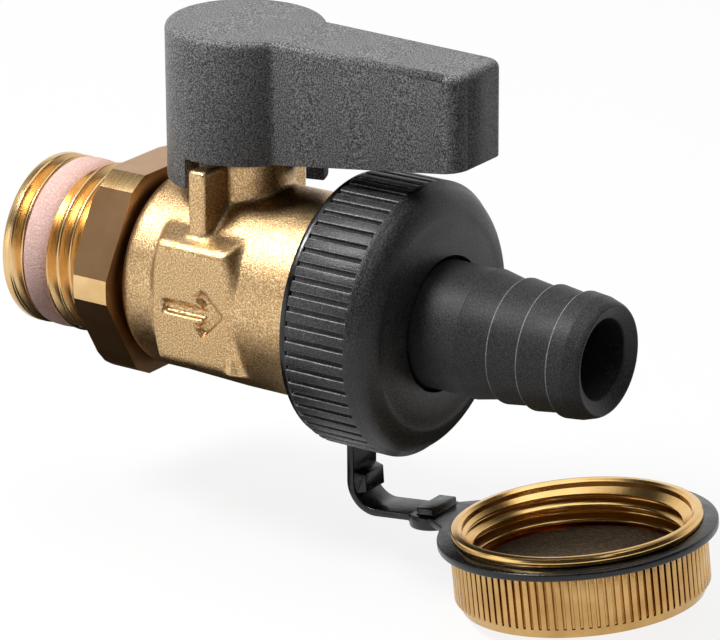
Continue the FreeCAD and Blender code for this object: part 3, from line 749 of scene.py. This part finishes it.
hex_corner = HEX_FLATS / math.sqrt(3)
hexagon = bmesh.new()
bmesh.ops.create_cone(
    hexagon, cap_ends=True, segments=6, radius1=hex_corner * MM, radius2=hex_corner * MM,
    depth=HEX_LENGTH * MM)
lie_down = Matrix.Rotation(math.radians(90), 3, "Y")
bmesh.ops.rotate(hexagon, verts=hexagon.verts, cent=ORIGIN, matrix=lie_down)
first_corner = next(iter(hexagon.verts)).co
turn = math.atan2(first_corner.z, first_corner.y)
bmesh.ops.rotate(hexagon, verts=hexagon.verts, cent=ORIGIN, matrix=Matrix.Rotation(-turn, 3, "X"))
bmesh.ops.translate(hexagon, verts=hexagon.verts, vec=X_AXIS * (HEX_LENGTH / 2 * MM))
hexagon = joined(hexagon, lathe(HEX_TRIM, steps=FINE_STEPS), "INTERSECT")
print("hexagon:", HEX_FLATS, "mm across flats")

# %% [markdown]
# The pipe thread starts in a short plain land at the end, which finds its way into a pipe. Behind the
# hexagon a spigot with an O-ring groove goes into the body. All of it is joined from lathe shapes and
# one threaded bar, and then the seal's groove and the bore are cut.

# %% Thread, spigot and bore
INLET_END = -13.0
INLET_CREST = 10.4775
INLET_ROOT = 9.3155
INLET_LAP = 0.4
INLET_CREST_AT = -4.86
INLET_LAND = [
    (INLET_END, 0), (INLET_END, 10.2), (INLET_END + 0.15, 10.4), (INLET_END + 0.45, INLET_CREST),
    (INLET_END + 1.1, INLET_CREST), (INLET_END + 1.25, 10.4), (INLET_END + 1.75, INLET_ROOT),
    (INLET_END + 1.75, 0),
]
SPIGOT = 9.9
O_RING_FLOOR = 8.55
TAIL_SPIGOT = [
    (4.0, 0), (4.0, SPIGOT), (6.3, SPIGOT), (6.3, O_RING_FLOOR), (8.2, O_RING_FLOOR), (8.2, SPIGOT),
    (11.75, SPIGOT), (11.75, 0),
]
SEAL_GROOVE = [(-9.8, INLET_ROOT), (-9.8, 11.5), (-6.15, 11.5), (-6.15, INLET_ROOT)]
TAIL_BORE = [(-14, 0), (-14, WATERWAY), (9.22, WATERWAY), (9.22, SEAT_POCKET), (13, SEAT_POCKET), (13, 0)]

tail = threaded_bar(INLET_CREST, INLET_END, INLET_LAP, crest_at=INLET_CREST_AT)
tail = joined(tail, lathe(INLET_LAND), "UNION")
tail = joined(tail, hexagon, "UNION")
tail = joined(tail, lathe(TAIL_SPIGOT), "UNION")
tail = joined(tail, lathe(SEAL_GROOVE), "DIFFERENCE")
tail = joined(tail, lathe(TAIL_BORE), "DIFFERENCE")
tail_piece = publish(tail, "threaded_tail", "valve", "turned_brass", tail_brass, "tail_piece", smooth=22)

# %% [markdown]
# The hexagon's flats keep the even sheen of drawn bar, and their darker tone is painted shade for the
# dim light they mirror. The shoulder behind them, in the gap between hexagon and body, is painted
# dull and dark as shade. Both are found by which way their faces look, so that no face has to
# be picked by hand.

# %% Finishes of the flats and the shoulder
FLATS_OUTSIDE = 12.0
FLAT_TURN = 0.9995
SHOULDER_TURN = 0.9
SHOULDER_REACH = 0.1

flat_angles = [math.radians(60 * side) for side in range(6)]
flat_directions = [Vector((0, math.sin(angle), math.cos(angle))) for angle in flat_angles]


def hexagon_flat(centre, normal):
    straight_out = max(normal.dot(flat) for flat in flat_directions) > FLAT_TURN
    return straight_out and centre.yz.length > FLATS_OUTSIDE


def hexagon_shoulder(centre, normal):
    return normal.x > SHOULDER_TURN and abs(centre.x - HEX_LENGTH) < SHOULDER_REACH


# Flats and shoulder take darker brass as painted shade.
second_finish(tail_piece, hexagon_shade_brass, hexagon_flat)
second_finish(tail_piece, shoulder_shade_brass, hexagon_shoulder)

# %% [markdown]
# A soft pink ring lies in a groove of the inlet thread and seals it in the pipe. It is moulded, so its
# outer face is a low round, fuller on the side that goes into the pipe first. One outline with a few
# points draws that round, and the lathe does the rest.

# %% The pink seal ring in the thread
SEAL_RING = [
    (-9.75, 9.34), (-9.75, 10.28), (-9.5, 10.43), (-8.6, 10.4775), (-7.6, 10.42), (-6.9, 10.2),
    (-6.4, 9.8), (-6.2, 9.5), (-6.2, 9.34),
]
publish(lathe(SEAL_RING), "pink_seal_ring", "valve", "pink_seal", pink_seal, "thread_seal_ring", smooth=50)

# %% [markdown]
# ## The moulded pieces
#
# Lever, nut and tether come out of moulds, and no moulded edge is knife sharp. Their solids already
# have the right shape, so a welded copy of each is taken and its edges are rounded by a bevel of
# one to three tenths of a millimetre. The narrow round catches the light, and a painted highlight on
# it, below, adds to the bright outline round each rib of the nut. The nut also gets a narrow edge in
# front of its ribs.

# %% The nut
NUT_EDGE = 0.13
NUT_STEPS = 232
NUT_FRONT_EDGE = [(41.08, 14.0), (41.08, 16.3), (41.2, 16.33), (41.75, 15.78), (41.75, 14.0)]

nut = soften(merged_copy("union_nut"), NUT_EDGE)
nut = joined(nut, lathe(NUT_FRONT_EDGE, steps=NUT_STEPS), "UNION")
nut_piece = publish(nut, "ribbed_nut", "nut", "black_nut", black_nut, "union_nut")

# %% [markdown]
# The fine pale lines along the edges are painted highlights, and they make ribs and barbs readable.
# The rounded edges are their own narrow faces, so they simply take a second, paler finish that paints
# the highlight on them. They are found by which way they face.

# %% Painted highlights on the rib edges
RIB_ZONE = (33.6, 41.12)
RIB_EDGE = 16.15
RIB_EDGE_TURN = (0.3, 0.96)


def rib_edge(centre, normal):
    outward = Vector((0, centre.y, centre.z))
    in_zone = RIB_ZONE[0] < centre.x < RIB_ZONE[1] and outward.length > RIB_EDGE
    return in_zone and RIB_EDGE_TURN[0] < normal.dot(outward.normalized()) < RIB_EDGE_TURN[1]


# The rib edges take the paler finish, a painted highlight.
second_finish(nut_piece, nut_edge_highlight, rib_edge)

# %% [markdown]
# The lever's arm ends in two upright corners that are rounder than its other edges. A bevel can't
# widen an edge that is already round, so each corner is trimmed by a tool: a block that has lost a
# turned post, whose radius is the new round and whose top has the lever's own edge.

# %% The lever and its round end
LEVER_EDGE = 0.25
ARM_END_ROUND = 2.2
ARM_TOP = 31.52
ARM_TOP_ROUND = 0.9
ARM_HALF_WIDTH = 5.0
ARM_TAPER = math.radians(1.465)
TRIM_START = 0.06
TRIM_SPARE = Vector((1, 2, 2))

lever = soften(merged_copy("handle"), LEVER_EDGE)
arm_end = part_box("handle")[1].x / MM
post_x = arm_end - ARM_END_ROUND
post_y = ARM_HALF_WIDTH + ARM_END_ROUND * (math.tan(ARM_TAPER) - 1 / math.cos(ARM_TAPER))
post_edge = (ARM_TOP - ARM_TOP_ROUND, ARM_END_ROUND - ARM_TOP_ROUND)
post_outline = [(0, 0), (0, ARM_END_ROUND)] + arc_points(post_edge, ARM_TOP_ROUND, 90, 0) + [(ARM_TOP, 0)]
trim_low = Vector((post_x + TRIM_START, post_y + TRIM_START, NECK_TOP))
trim_high = Vector((arm_end, ARM_HALF_WIDTH, ARM_TOP)) + TRIM_SPARE
for side in (-1, 1):
    post = upright(post_outline, post_x)
    bmesh.ops.translate(post, verts=post.verts, vec=Y_AXIS * (post_y * MM))
    trim = joined(block(trim_low, trim_high), post, "DIFFERENCE")
    bmesh.ops.scale(trim, verts=trim.verts, vec=(1, side, 1))
    bmesh.ops.recalc_face_normals(trim, faces=trim.faces)
    lever = joined(lever, trim, "DIFFERENCE")
publish(lever, "lever_moulding", "lever", "grey_lever", grey_lever, "handle")

# %% [markdown]
# The strap hangs from the neck ring and turns out to the cap in one round bend. It could be a curve
# with a bevel, but a flat section is as easily drawn straight down, spun round the bend and drawn
# on, and it stays a plain mesh.

# %% The tether's strap
TETHER_EDGE = 0.16
STRAP_X = 32.45
STRAP_TOP = -15.8
STRAP_CORNER = -25.07
STRAP_THICK = 0.908
STRAP_WIDTH = 5.008
STRAP_BEND = 3.3
STRAP_STEPS = 16
STRAP_RUN = 5.1

strap_turn = math.radians(90) + CAP_TILT
tangent = STRAP_BEND * math.tan(strap_turn / 2)
bend_centre = Vector((STRAP_X + STRAP_BEND, 0, STRAP_CORNER + tangent))
strap = bmesh.new()
bmesh.ops.create_grid(strap, x_segments=1, y_segments=1, size=0.5)
bmesh.ops.delete(strap, geom=strap.faces[:], context="FACES_ONLY")
bmesh.ops.scale(strap, verts=strap.verts, vec=Vector((STRAP_THICK, STRAP_WIDTH, 1)) * MM)
bmesh.ops.translate(strap, verts=strap.verts, vec=Vector((STRAP_X, 0, STRAP_TOP)) * MM)


def draw_on(bm, rim, by):
    """Extrudes a loop of edges and moves the new loop by a vector in mm."""
    drawn = bmesh.ops.extrude_edge_only(bm, edges=rim)["geom"]
    bmesh.ops.translate(bm, verts=[v for v in drawn if isinstance(v, bmesh.types.BMVert)], vec=by * MM)
    return [item for item in drawn if isinstance(item, bmesh.types.BMEdge)]


rim = draw_on(strap, strap.edges[:], Z_AXIS * (bend_centre.z - STRAP_TOP))
spun = bmesh.ops.spin(
    strap, geom=rim, cent=bend_centre * MM, axis=Y_AXIS, dvec=ORIGIN, angle=-strap_turn, steps=STRAP_STEPS,
    use_merge=False, use_duplicate=False)
rim = [item for item in spun["geom_last"] if isinstance(item, bmesh.types.BMEdge)]
draw_on(strap, rim, Vector((math.cos(CAP_TILT), 0, math.sin(CAP_TILT))) * STRAP_RUN)
bmesh.ops.holes_fill(strap, edges=strap.edges)
soften(closed(strap), TETHER_EDGE)
print("strap bends through", round(math.degrees(strap_turn), 1), "degrees")

# %% [markdown]
# A small tapered stop sits on the inner side of the strap, where its bend starts: a cube with one end
# drawn in. Strap and stop then take the place of the plain corner in a copy of the tether's solid,
# whose two rings are only softened.

# %% The stop and the whole tether
STOP_SIZE = Vector((1.9, 4.8, 2.9))
STOP_TAPER = 0.8
STOP_ANGLE = math.radians(4.0)
CORNER_LOW = (30.0, -4.0, -30.0)
CORNER_HIGH = (39.6, 4.0, -16.25)

stop = bmesh.new()
bmesh.ops.create_cube(stop, size=1.0)
front = [vert for vert in stop.verts if vert.co.x > 0]
bmesh.ops.scale(stop, verts=front, vec=(1, STOP_TAPER, STOP_TAPER))
bmesh.ops.scale(stop, verts=stop.verts, vec=STOP_SIZE * MM)
bmesh.ops.translate(stop, verts=stop.verts, vec=Vector((STRAP_X + STOP_SIZE.x / 2, 0, bend_centre.z)) * MM)
bmesh.ops.rotate(
    stop, verts=stop.verts, cent=bend_centre * MM, matrix=Matrix.Rotation(-STOP_ANGLE, 3, "Y"))
soften(stop, TETHER_EDGE)

tether = soften(merged_copy("cap_tether"), TETHER_EDGE)
tether = joined(tether, block(CORNER_LOW, CORNER_HIGH), "DIFFERENCE")
tether = joined(tether, joined(strap, stop, "UNION"), "UNION")
publish(tether, "strap_and_rings", "tether", "black_tether", black_tether, "cap_tether")

# %% [markdown]
# ## The hose tail
#
# The barbs slope towards the tip and fall off in a sharp step, so a hose slides on and won't slide
# off. The outline is drawn, spun, and softened at its corners. The low first barb, where the
# plain root ends, is a ring of its own that is joined on.

# %% The barbed tail
FLANGE_START = 40.66
FLANGE_END = 42.36
FLANGE = 11.9
TAIL_HOLE = 4.72
ROOT_END = 50.52
BARB_PITCH = 3.98
BARB_FOOT = 6.87
BARB_TOP = 7.42
TAIL_END = 66.5
TAIL_STEPS = 160
TAIL_EDGE = 0.20
TAIL_CORNER = 12
FIRST_BARB_FOOT = 6.5

barbs = [ROOT_END + BARB_PITCH * count for count in (1, 2, 3)]
tail_outline = [
    (FLANGE_START, TAIL_HOLE), (FLANGE_START, FLANGE), (FLANGE_END, FLANGE), (FLANGE_END, 7.6),
    (ROOT_END, 7.52),
]
for station in barbs:
    tail_outline += [(station, BARB_FOOT), (station, BARB_TOP)]
tail_outline += [
    (TAIL_END - 2.0, 7.2), (TAIL_END - 0.5, 6.73), (TAIL_END, 6.35), (TAIL_END - 0.9, TAIL_HOLE),
]
first_barb = [
    (ROOT_END - 0.22, FIRST_BARB_FOOT), (ROOT_END - 0.22, 7.5), (ROOT_END, 7.67),
    (barbs[0] - 0.3, 6.9), (barbs[0] - 0.3, FIRST_BARB_FOOT),
]
barbed = soften(lathe(tail_outline, steps=TAIL_STEPS), TAIL_EDGE, angle=TAIL_CORNER, segments=3)
barbed = joined(barbed, lathe(first_barb, steps=TAIL_STEPS), "UNION")
barbed_piece = publish(barbed, "barbed_tail", "tail", "black_tail", black_tail, "hose_nozzle", smooth=8)

# %% [markdown]
# Each barb gets a painted highlight where it stands out most. The rounded corner of each barb has its own
# faces, which look back towards the root, so they take the pale finish in the same way as the nut's ribs.

# %% Painted highlights on the barb edges
BARB_EDGE = 7.0
BARB_REACH = 0.3
BARB_TURN = (-0.8, -0.05)


def barb_edge(centre, normal):
    near_barb = min(abs(centre.x - station) for station in barbs) < BARB_REACH
    return near_barb and centre.yz.length > BARB_EDGE and BARB_TURN[0] < normal.x < BARB_TURN[1]


# The barb edges take the paler finish, a painted highlight.
second_finish(barbed_piece, barb_edge_highlight, barb_edge)

# %% [markdown]
# ## The knurled cap
#
# The cap is made standing upright with its lip at zero. A lathe shape gives its outside, another its
# hollow, and the inside is cut with the same kind of threaded bar as the outlet, so that the two
# would screw together.

# %% The cap's turned core
CAP_THREAD = (-5.4, -0.4)
CAP_CREST_AT = -2.6
CAP_CORE = [
    (0.0, 0), (0.0, 14.2), (-0.12, 14.46), (-0.45, 14.63), (-0.7, 14.63), (-1.0, 14.46), (-1.1, 14.2),
    (-1.1, 13.9), (-2.2, 13.9), (-2.2, 14.15), (-2.35, 14.3), (-8.5, 14.3), (-8.5, 14.52),
    (-9.515, 14.2), (-9.515, 0),
]
CAP_HOLLOW = [
    (1.0, 0), (1.0, 13.7), (0.0, 13.7), (-0.3, 13.3), (-0.9, 13.27), (-1.8, 12.06), (-5.5, 12.06),
    (-5.5, 12.98), (-7.33, 12.98), (-7.33, 0),
]

core = lathe(CAP_CORE, axis=Z_AXIS, steps=FINE_STEPS)
core = joined(core, lathe(CAP_HOLLOW, axis=Z_AXIS, steps=FINE_STEPS), "DIFFERENCE")
core = joined(core, threaded_bar(OUTLET_CREST, *CAP_THREAD, crest_at=CAP_CREST_AT, axis=Z_AXIS), "DIFFERENCE")
print("cap core:", len(core.faces), "faces")

# %% [markdown]
# The knurl is what fingers grip. A bump in the material would leave the cap's edge smooth against the
# light, so it is real: one ridge, softened and then spun round as copies. The finished cap is tilted
# into the tether's ring.

# %% Knurl and place
KNURL_COUNT = 96
KNURL_SIZE = Vector((1.0, 0.66, 6.25))
KNURL_RADIUS = 14.87
KNURL_MIDDLE = -5.37
KNURL_EDGE = 0.16
RING_CENTRE = Vector((62.5716, 0, -21.5208))
LIP_ABOVE_RING = 1.65

knurl = bmesh.new()
bmesh.ops.create_cube(knurl, size=1.0)
bmesh.ops.scale(knurl, verts=knurl.verts, vec=KNURL_SIZE * MM)
ridge_place = Vector((KNURL_RADIUS - KNURL_SIZE.x / 2, 0, KNURL_MIDDLE))
bmesh.ops.translate(knurl, verts=knurl.verts, vec=ridge_place * MM)
soften(knurl, KNURL_EDGE, segments=3)
bmesh.ops.spin(
    knurl, geom=knurl.verts[:] + knurl.edges[:] + knurl.faces[:], cent=ORIGIN, axis=Z_AXIS, dvec=ORIGIN,
    angle=FULL_TURN * (KNURL_COUNT - 1) / KNURL_COUNT, steps=KNURL_COUNT - 1,
    use_merge=False, use_duplicate=True)
cap = joined(core, knurl, "UNION")
lip_centre = RING_CENTRE + cap_axis * LIP_ABOVE_RING
place_cap = Matrix.Translation(lip_centre * MM) @ Matrix.Rotation(-CAP_TILT, 4, "Y")
bmesh.ops.transform(cap, matrix=place_cap, verts=cap.verts)
cap_piece = publish(cap, "knurled_cap", "cap", "turned_brass", cap_brass, "cap", smooth=30)

# %% [markdown]
# Inside a brass cup the light goes from wall to wall and grows warmer each time. The lip and the
# inside get a lighter brass, a painted glow for that warm light and a painted highlight on the lip.
# Their faces are found by bringing each one back to the upright cap.

# %% The cap's inside, with its painted glow
LIP_HEIGHT = 1.2
CUP_RADIUS = 13.75
CUP_DEPTH = 7.5
cap_upright = place_cap.inverted()


def cap_inside(centre, normal):
    own = cap_upright @ (centre * MM) / MM
    return own.z > -LIP_HEIGHT or (own.xy.length < CUP_RADIUS and own.z > -CUP_DEPTH)


# The lip and the inside take the lighter brass, a painted glow.
second_finish(cap_piece, painted_glow_brass, cap_inside)

# %% [markdown]
# ## What lies inside
#
# Ball, seats, stem and seals are hidden until the valve is taken apart, or seen down the waterway.
# Their solids are right as they are, and only take a finish.

# %% Finishes for the solids that stay
STAYING = {
    "ball": ball_chrome, "stem": stem_brass, "inlet_seat": white_seat, "outlet_seat": white_seat,
    "stem_thrust_washer": white_seat, "tail_o_ring": black_rubber, "lower_stem_o_ring": black_rubber,
    "upper_stem_o_ring": black_rubber, "nozzle_gasket": black_rubber, "cap_gasket": dark_gasket,
}
for name, finish in STAYING.items():
    nodes[name].data.materials.clear()
    nodes[name].data.materials.append(finish)
    nodes[name].data.shade_smooth()
    nodes[name].data.set_sharp_from_angle(angle=math.radians(SHARP_ANGLE))
print("solids dressed:", len(STAYING))

# %% [markdown]
# ## Floor and background
#
# The floor is white card. The camera, and everything that mirrors the background, sees it glow a
# little, so that it comes out white without more light on the valve; what is left of its shading
# keeps the valve's soft shadow.

# %% A white floor
FLOOR_GAP = 0.5
FLOOR_HALF = 4.0
CARD_SHADE = 0.13
CARD_GLOW = 0.86

floor_z = cad_low.z - FLOOR_GAP * MM


def maths(tree, operation, place, first, second):
    """A Math node that links two values."""
    node = add(tree, "ShaderNodeMath", place, operation=operation)
    tree.links.new(first, node.inputs[0])
    tree.links.new(second, node.inputs[1])
    return node.outputs["Value"]


def ray_share(tree, *kinds):
    """The largest of some Light Path outputs."""
    path = add(tree, "ShaderNodeLightPath", (-700, 300))
    share = path.outputs[kinds[0]]
    for index, kind in enumerate(kinds[1:]):
        share = maths(tree, "MAXIMUM", (-500 + 150 * index, 300), share, path.outputs[kind])
    return share


def stage_sheet(name, bm, finish):
    """A sheet of the studio, which isn't a piece of the valve."""
    mesh = bpy.data.meshes.new(name)
    bm.to_mesh(mesh)
    bm.free()
    mesh.materials.append(finish)
    sheet = bpy.data.objects.new(name, mesh)
    bpy.context.scene.collection.objects.link(sheet)
    return sheet


card = bpy.data.materials.new("white_card")
card.use_nodes = True
card_tree = card.node_tree
card_tree.nodes.clear()
card_output = add(card_tree, "ShaderNodeOutputMaterial", (600, 0))
card_diffuse = add(
    card_tree, "ShaderNodeBsdfDiffuse", (0, 100), {"Color": (CARD_SHADE, CARD_SHADE, CARD_SHADE, 1.0)})
card_glow = add(card_tree, "ShaderNodeEmission", (0, -100))
card_sum = add(card_tree, "ShaderNodeAddShader", (350, 0))
glow_share = ray_share(card_tree, "Is Camera Ray", "Is Glossy Ray", "Is Transmission Ray")
glow_strength = add(card_tree, "ShaderNodeMath", (-200, -100), {1: CARD_GLOW}, operation="MULTIPLY")
card_tree.links.new(glow_share, glow_strength.inputs[0])
card_tree.links.new(glow_strength.outputs["Value"], card_glow.inputs["Strength"])
card_tree.links.new(card_diffuse.outputs["BSDF"], card_sum.inputs[0])
card_tree.links.new(card_glow.outputs["Emission"], card_sum.inputs[1])
card_tree.links.new(card_sum.outputs["Shader"], card_output.inputs["Surface"])

floor_bm = bmesh.new()
bmesh.ops.create_grid(floor_bm, x_segments=1, y_segments=1, size=FLOOR_HALF)
bmesh.ops.translate(floor_bm, verts=floor_bm.verts, vec=Z_AXIS * floor_z)
floor = stage_sheet("floor", floor_bm, card)
print("floor at", round(floor_z / MM, 1), "mm")

# %% [markdown]
# Behind the valve the camera sees a white backdrop. Brass mirrors it too, but only low down on the far
# side, where the backdrop stands. The rest of the room is nearly black, so that the metal keeps its
# contrast and the soft boxes do all the lighting.

# %% The world behind it
BACKDROP_SIDE = (-0.6, 0.8, 0.0)
BACKDROP_EDGE = (-0.05, 0.45)
BACKDROP_TOP = (0.75, 0.35)
ROOM_SHADE = 0.02


def fade(tree, place, value, start, end):
    """A soft step from 0 at the start to 1 at the end."""
    node = add(
        tree, "ShaderNodeMapRange", place, {"From Min": start, "From Max": end},
        interpolation_type="SMOOTHSTEP")
    tree.links.new(value, node.inputs["Value"])
    return node.outputs["Result"]


def background(tree, place, shade):
    return add(tree, "ShaderNodeBackground", place, {"Color": (shade, shade, shade, 1), "Strength": 1.0})


world = bpy.data.worlds.new("studio")
bpy.context.scene.world = world
world.use_nodes = True
sky = world.node_tree
sky.nodes.clear()
direction = add(sky, "ShaderNodeTexCoord", (-700, -200)).outputs["Generated"]
sideways = add(sky, "ShaderNodeVectorMath", (-500, -200), {1: BACKDROP_SIDE}, operation="DOT_PRODUCT")
upwards = add(sky, "ShaderNodeSeparateXYZ", (-500, -400))
sky.links.new(direction, sideways.inputs[0])
sky.links.new(direction, upwards.inputs["Vector"])
behind = fade(sky, (-300, -200), sideways.outputs["Value"], *BACKDROP_EDGE)
low_down = fade(sky, (-300, -450), upwards.outputs["Z"], *BACKDROP_TOP)
backdrop = maths(sky, "MULTIPLY", (-100, -300), behind, low_down)
mirrored = maths(sky, "MULTIPLY", (-100, 0), ray_share(sky, "Is Glossy Ray"), backdrop)
straight = ray_share(sky, "Is Camera Ray", "Is Transmission Ray")
seen = maths(sky, "MAXIMUM", (100, 150), straight, mirrored)
sky_mix = add(sky, "ShaderNodeMixShader", (600, 0))
sky_output = add(sky, "ShaderNodeOutputWorld", (800, 0))
sky.links.new(seen, sky_mix.inputs["Fac"])
sky.links.new(background(sky, (300, 100), ROOM_SHADE).outputs["Background"], sky_mix.inputs[1])
sky.links.new(background(sky, (300, -100), 1.0).outputs["Background"], sky_mix.inputs[2])
sky.links.new(sky_mix.outputs["Shader"], sky_output.inputs["Surface"])
print("world:", world.name)

# %% [markdown]
# ## Light and camera
#
# Four soft boxes light the valve: a key above and to the left of the camera, which models the forms,
# a weak one low in front that fills the near faces, a strip on the right that edges the hose tail, and
# a broad one overhead. Area lamps stand in for real soft boxes, because their size softens shadows
# and shows in the metal. Their places and sizes are in metres.

# %% Soft boxes
LIT_POINT = Vector((0.028, 0.0, 0.0))


def soft_box(name, where, size, watts):
    lamp = bpy.data.lights.new(name, "AREA")
    lamp.shape = "RECTANGLE"
    lamp.size, lamp.size_y = size
    lamp.energy = watts
    box = bpy.data.objects.new(name, lamp)
    bpy.context.scene.collection.objects.link(box)
    box.location = where
    box.rotation_euler = (LIT_POINT - Vector(where)).to_track_quat("-Z", "Y").to_euler()
    print(name, "soft box:", watts, "W")


soft_box("key", (-0.33, -0.37, 0.74), (0.27, 0.27), 7.6)
soft_box("front", (-0.45, -0.65, 0.04), (0.50, 0.36), 0.9)
soft_box("edge", (0.58, -0.36, 0.60), (0.14, 0.30), 0.25)
soft_box("overhead", (0.05, 0.10, 0.80), (0.90, 0.70), 3.0)

# %% [markdown]
# Brass has no look of its own: it shows what is round it. On a white floor alone it turns pale and
# flat, so two dark sheets lie on the floor as painted shade for the metal's reflections, which gives
# it its dark undersides. Only reflections see them, so the floor still looks white.

# %% Dark sheets under the valve
DARK_SHEETS = [((-32, -45), (19, 140)), ((19.2, 12), (62, 140))]
SHEET_LIFT = 0.2
SHADE_SHEET_COLOUR = (0.03, 0.025, 0.02, 1.0)

shade_sheet, shade_sheet_shader = new_finish("reflected_shade_sheet")
shade_sheet_shader.inputs["Base Color"].default_value = SHADE_SHEET_COLOUR
shade_sheet_shader.inputs["Roughness"].default_value = 1.0
shade_sheet_shader.inputs["Specular IOR Level"].default_value = 0.0
dark_bm = bmesh.new()
for sheet_low, sheet_high in DARK_SHEETS:
    across, deep = (high - low for low, high in zip(sheet_low, sheet_high))
    middle = [(low + high) / 2 for low, high in zip(sheet_low, sheet_high)]
    placed = Matrix.Translation(Vector((*middle, floor_z / MM + SHEET_LIFT)) * MM)
    sized = Matrix.Diagonal((across * MM, deep * MM, 1, 1))
    bmesh.ops.create_grid(dark_bm, x_segments=1, y_segments=1, size=0.5, matrix=placed @ sized)
# These sheets are painted shade, seen only in reflections.
dark_card = stage_sheet("dark_card", dark_bm, shade_sheet)
dark_card.visible_camera = False
dark_card.visible_diffuse = False
dark_card.visible_shadow = False
print("dark sheets:", len(DARK_SHEETS))

# %% [markdown]
# The camera stands where the photograph's camera stood: far off with a long lens, so that the near
# and the far end of the valve keep nearly the same scale. Its aim is a direction, and a small roll
# about that direction levels the picture as the photograph has it.

# %% The camera
CAMERA_PLACE = Vector((311.423, -404.074, 175.229)) * MM
CAMERA_AIM = Vector((-0.534636, 0.773968, -0.339321))
CAMERA_ROLL = math.radians(0.2816)
SENSOR = 36.0
FOCAL_PIXELS = 4455.8
PICTURE_WIDTH = 720

lens = bpy.data.cameras.new("photo_camera")
lens.sensor_width = SENSOR
lens.lens = FOCAL_PIXELS * SENSOR / PICTURE_WIDTH
lens.clip_start = 0.01
lens.clip_end = 20.0
camera = bpy.data.objects.new("photo_camera", lens)
bpy.context.scene.collection.objects.link(camera)
level = CAMERA_AIM.to_track_quat("-Z", "Y")
camera.rotation_mode = "QUATERNION"
camera.rotation_quaternion = level @ Matrix.Rotation(-CAMERA_ROLL, 3, "Z").to_quaternion()
camera.location = CAMERA_PLACE
bpy.context.scene.camera = camera
bpy.context.scene.view_settings.view_transform = "Standard"
print("lens:", round(lens.lens, 1), "mm")
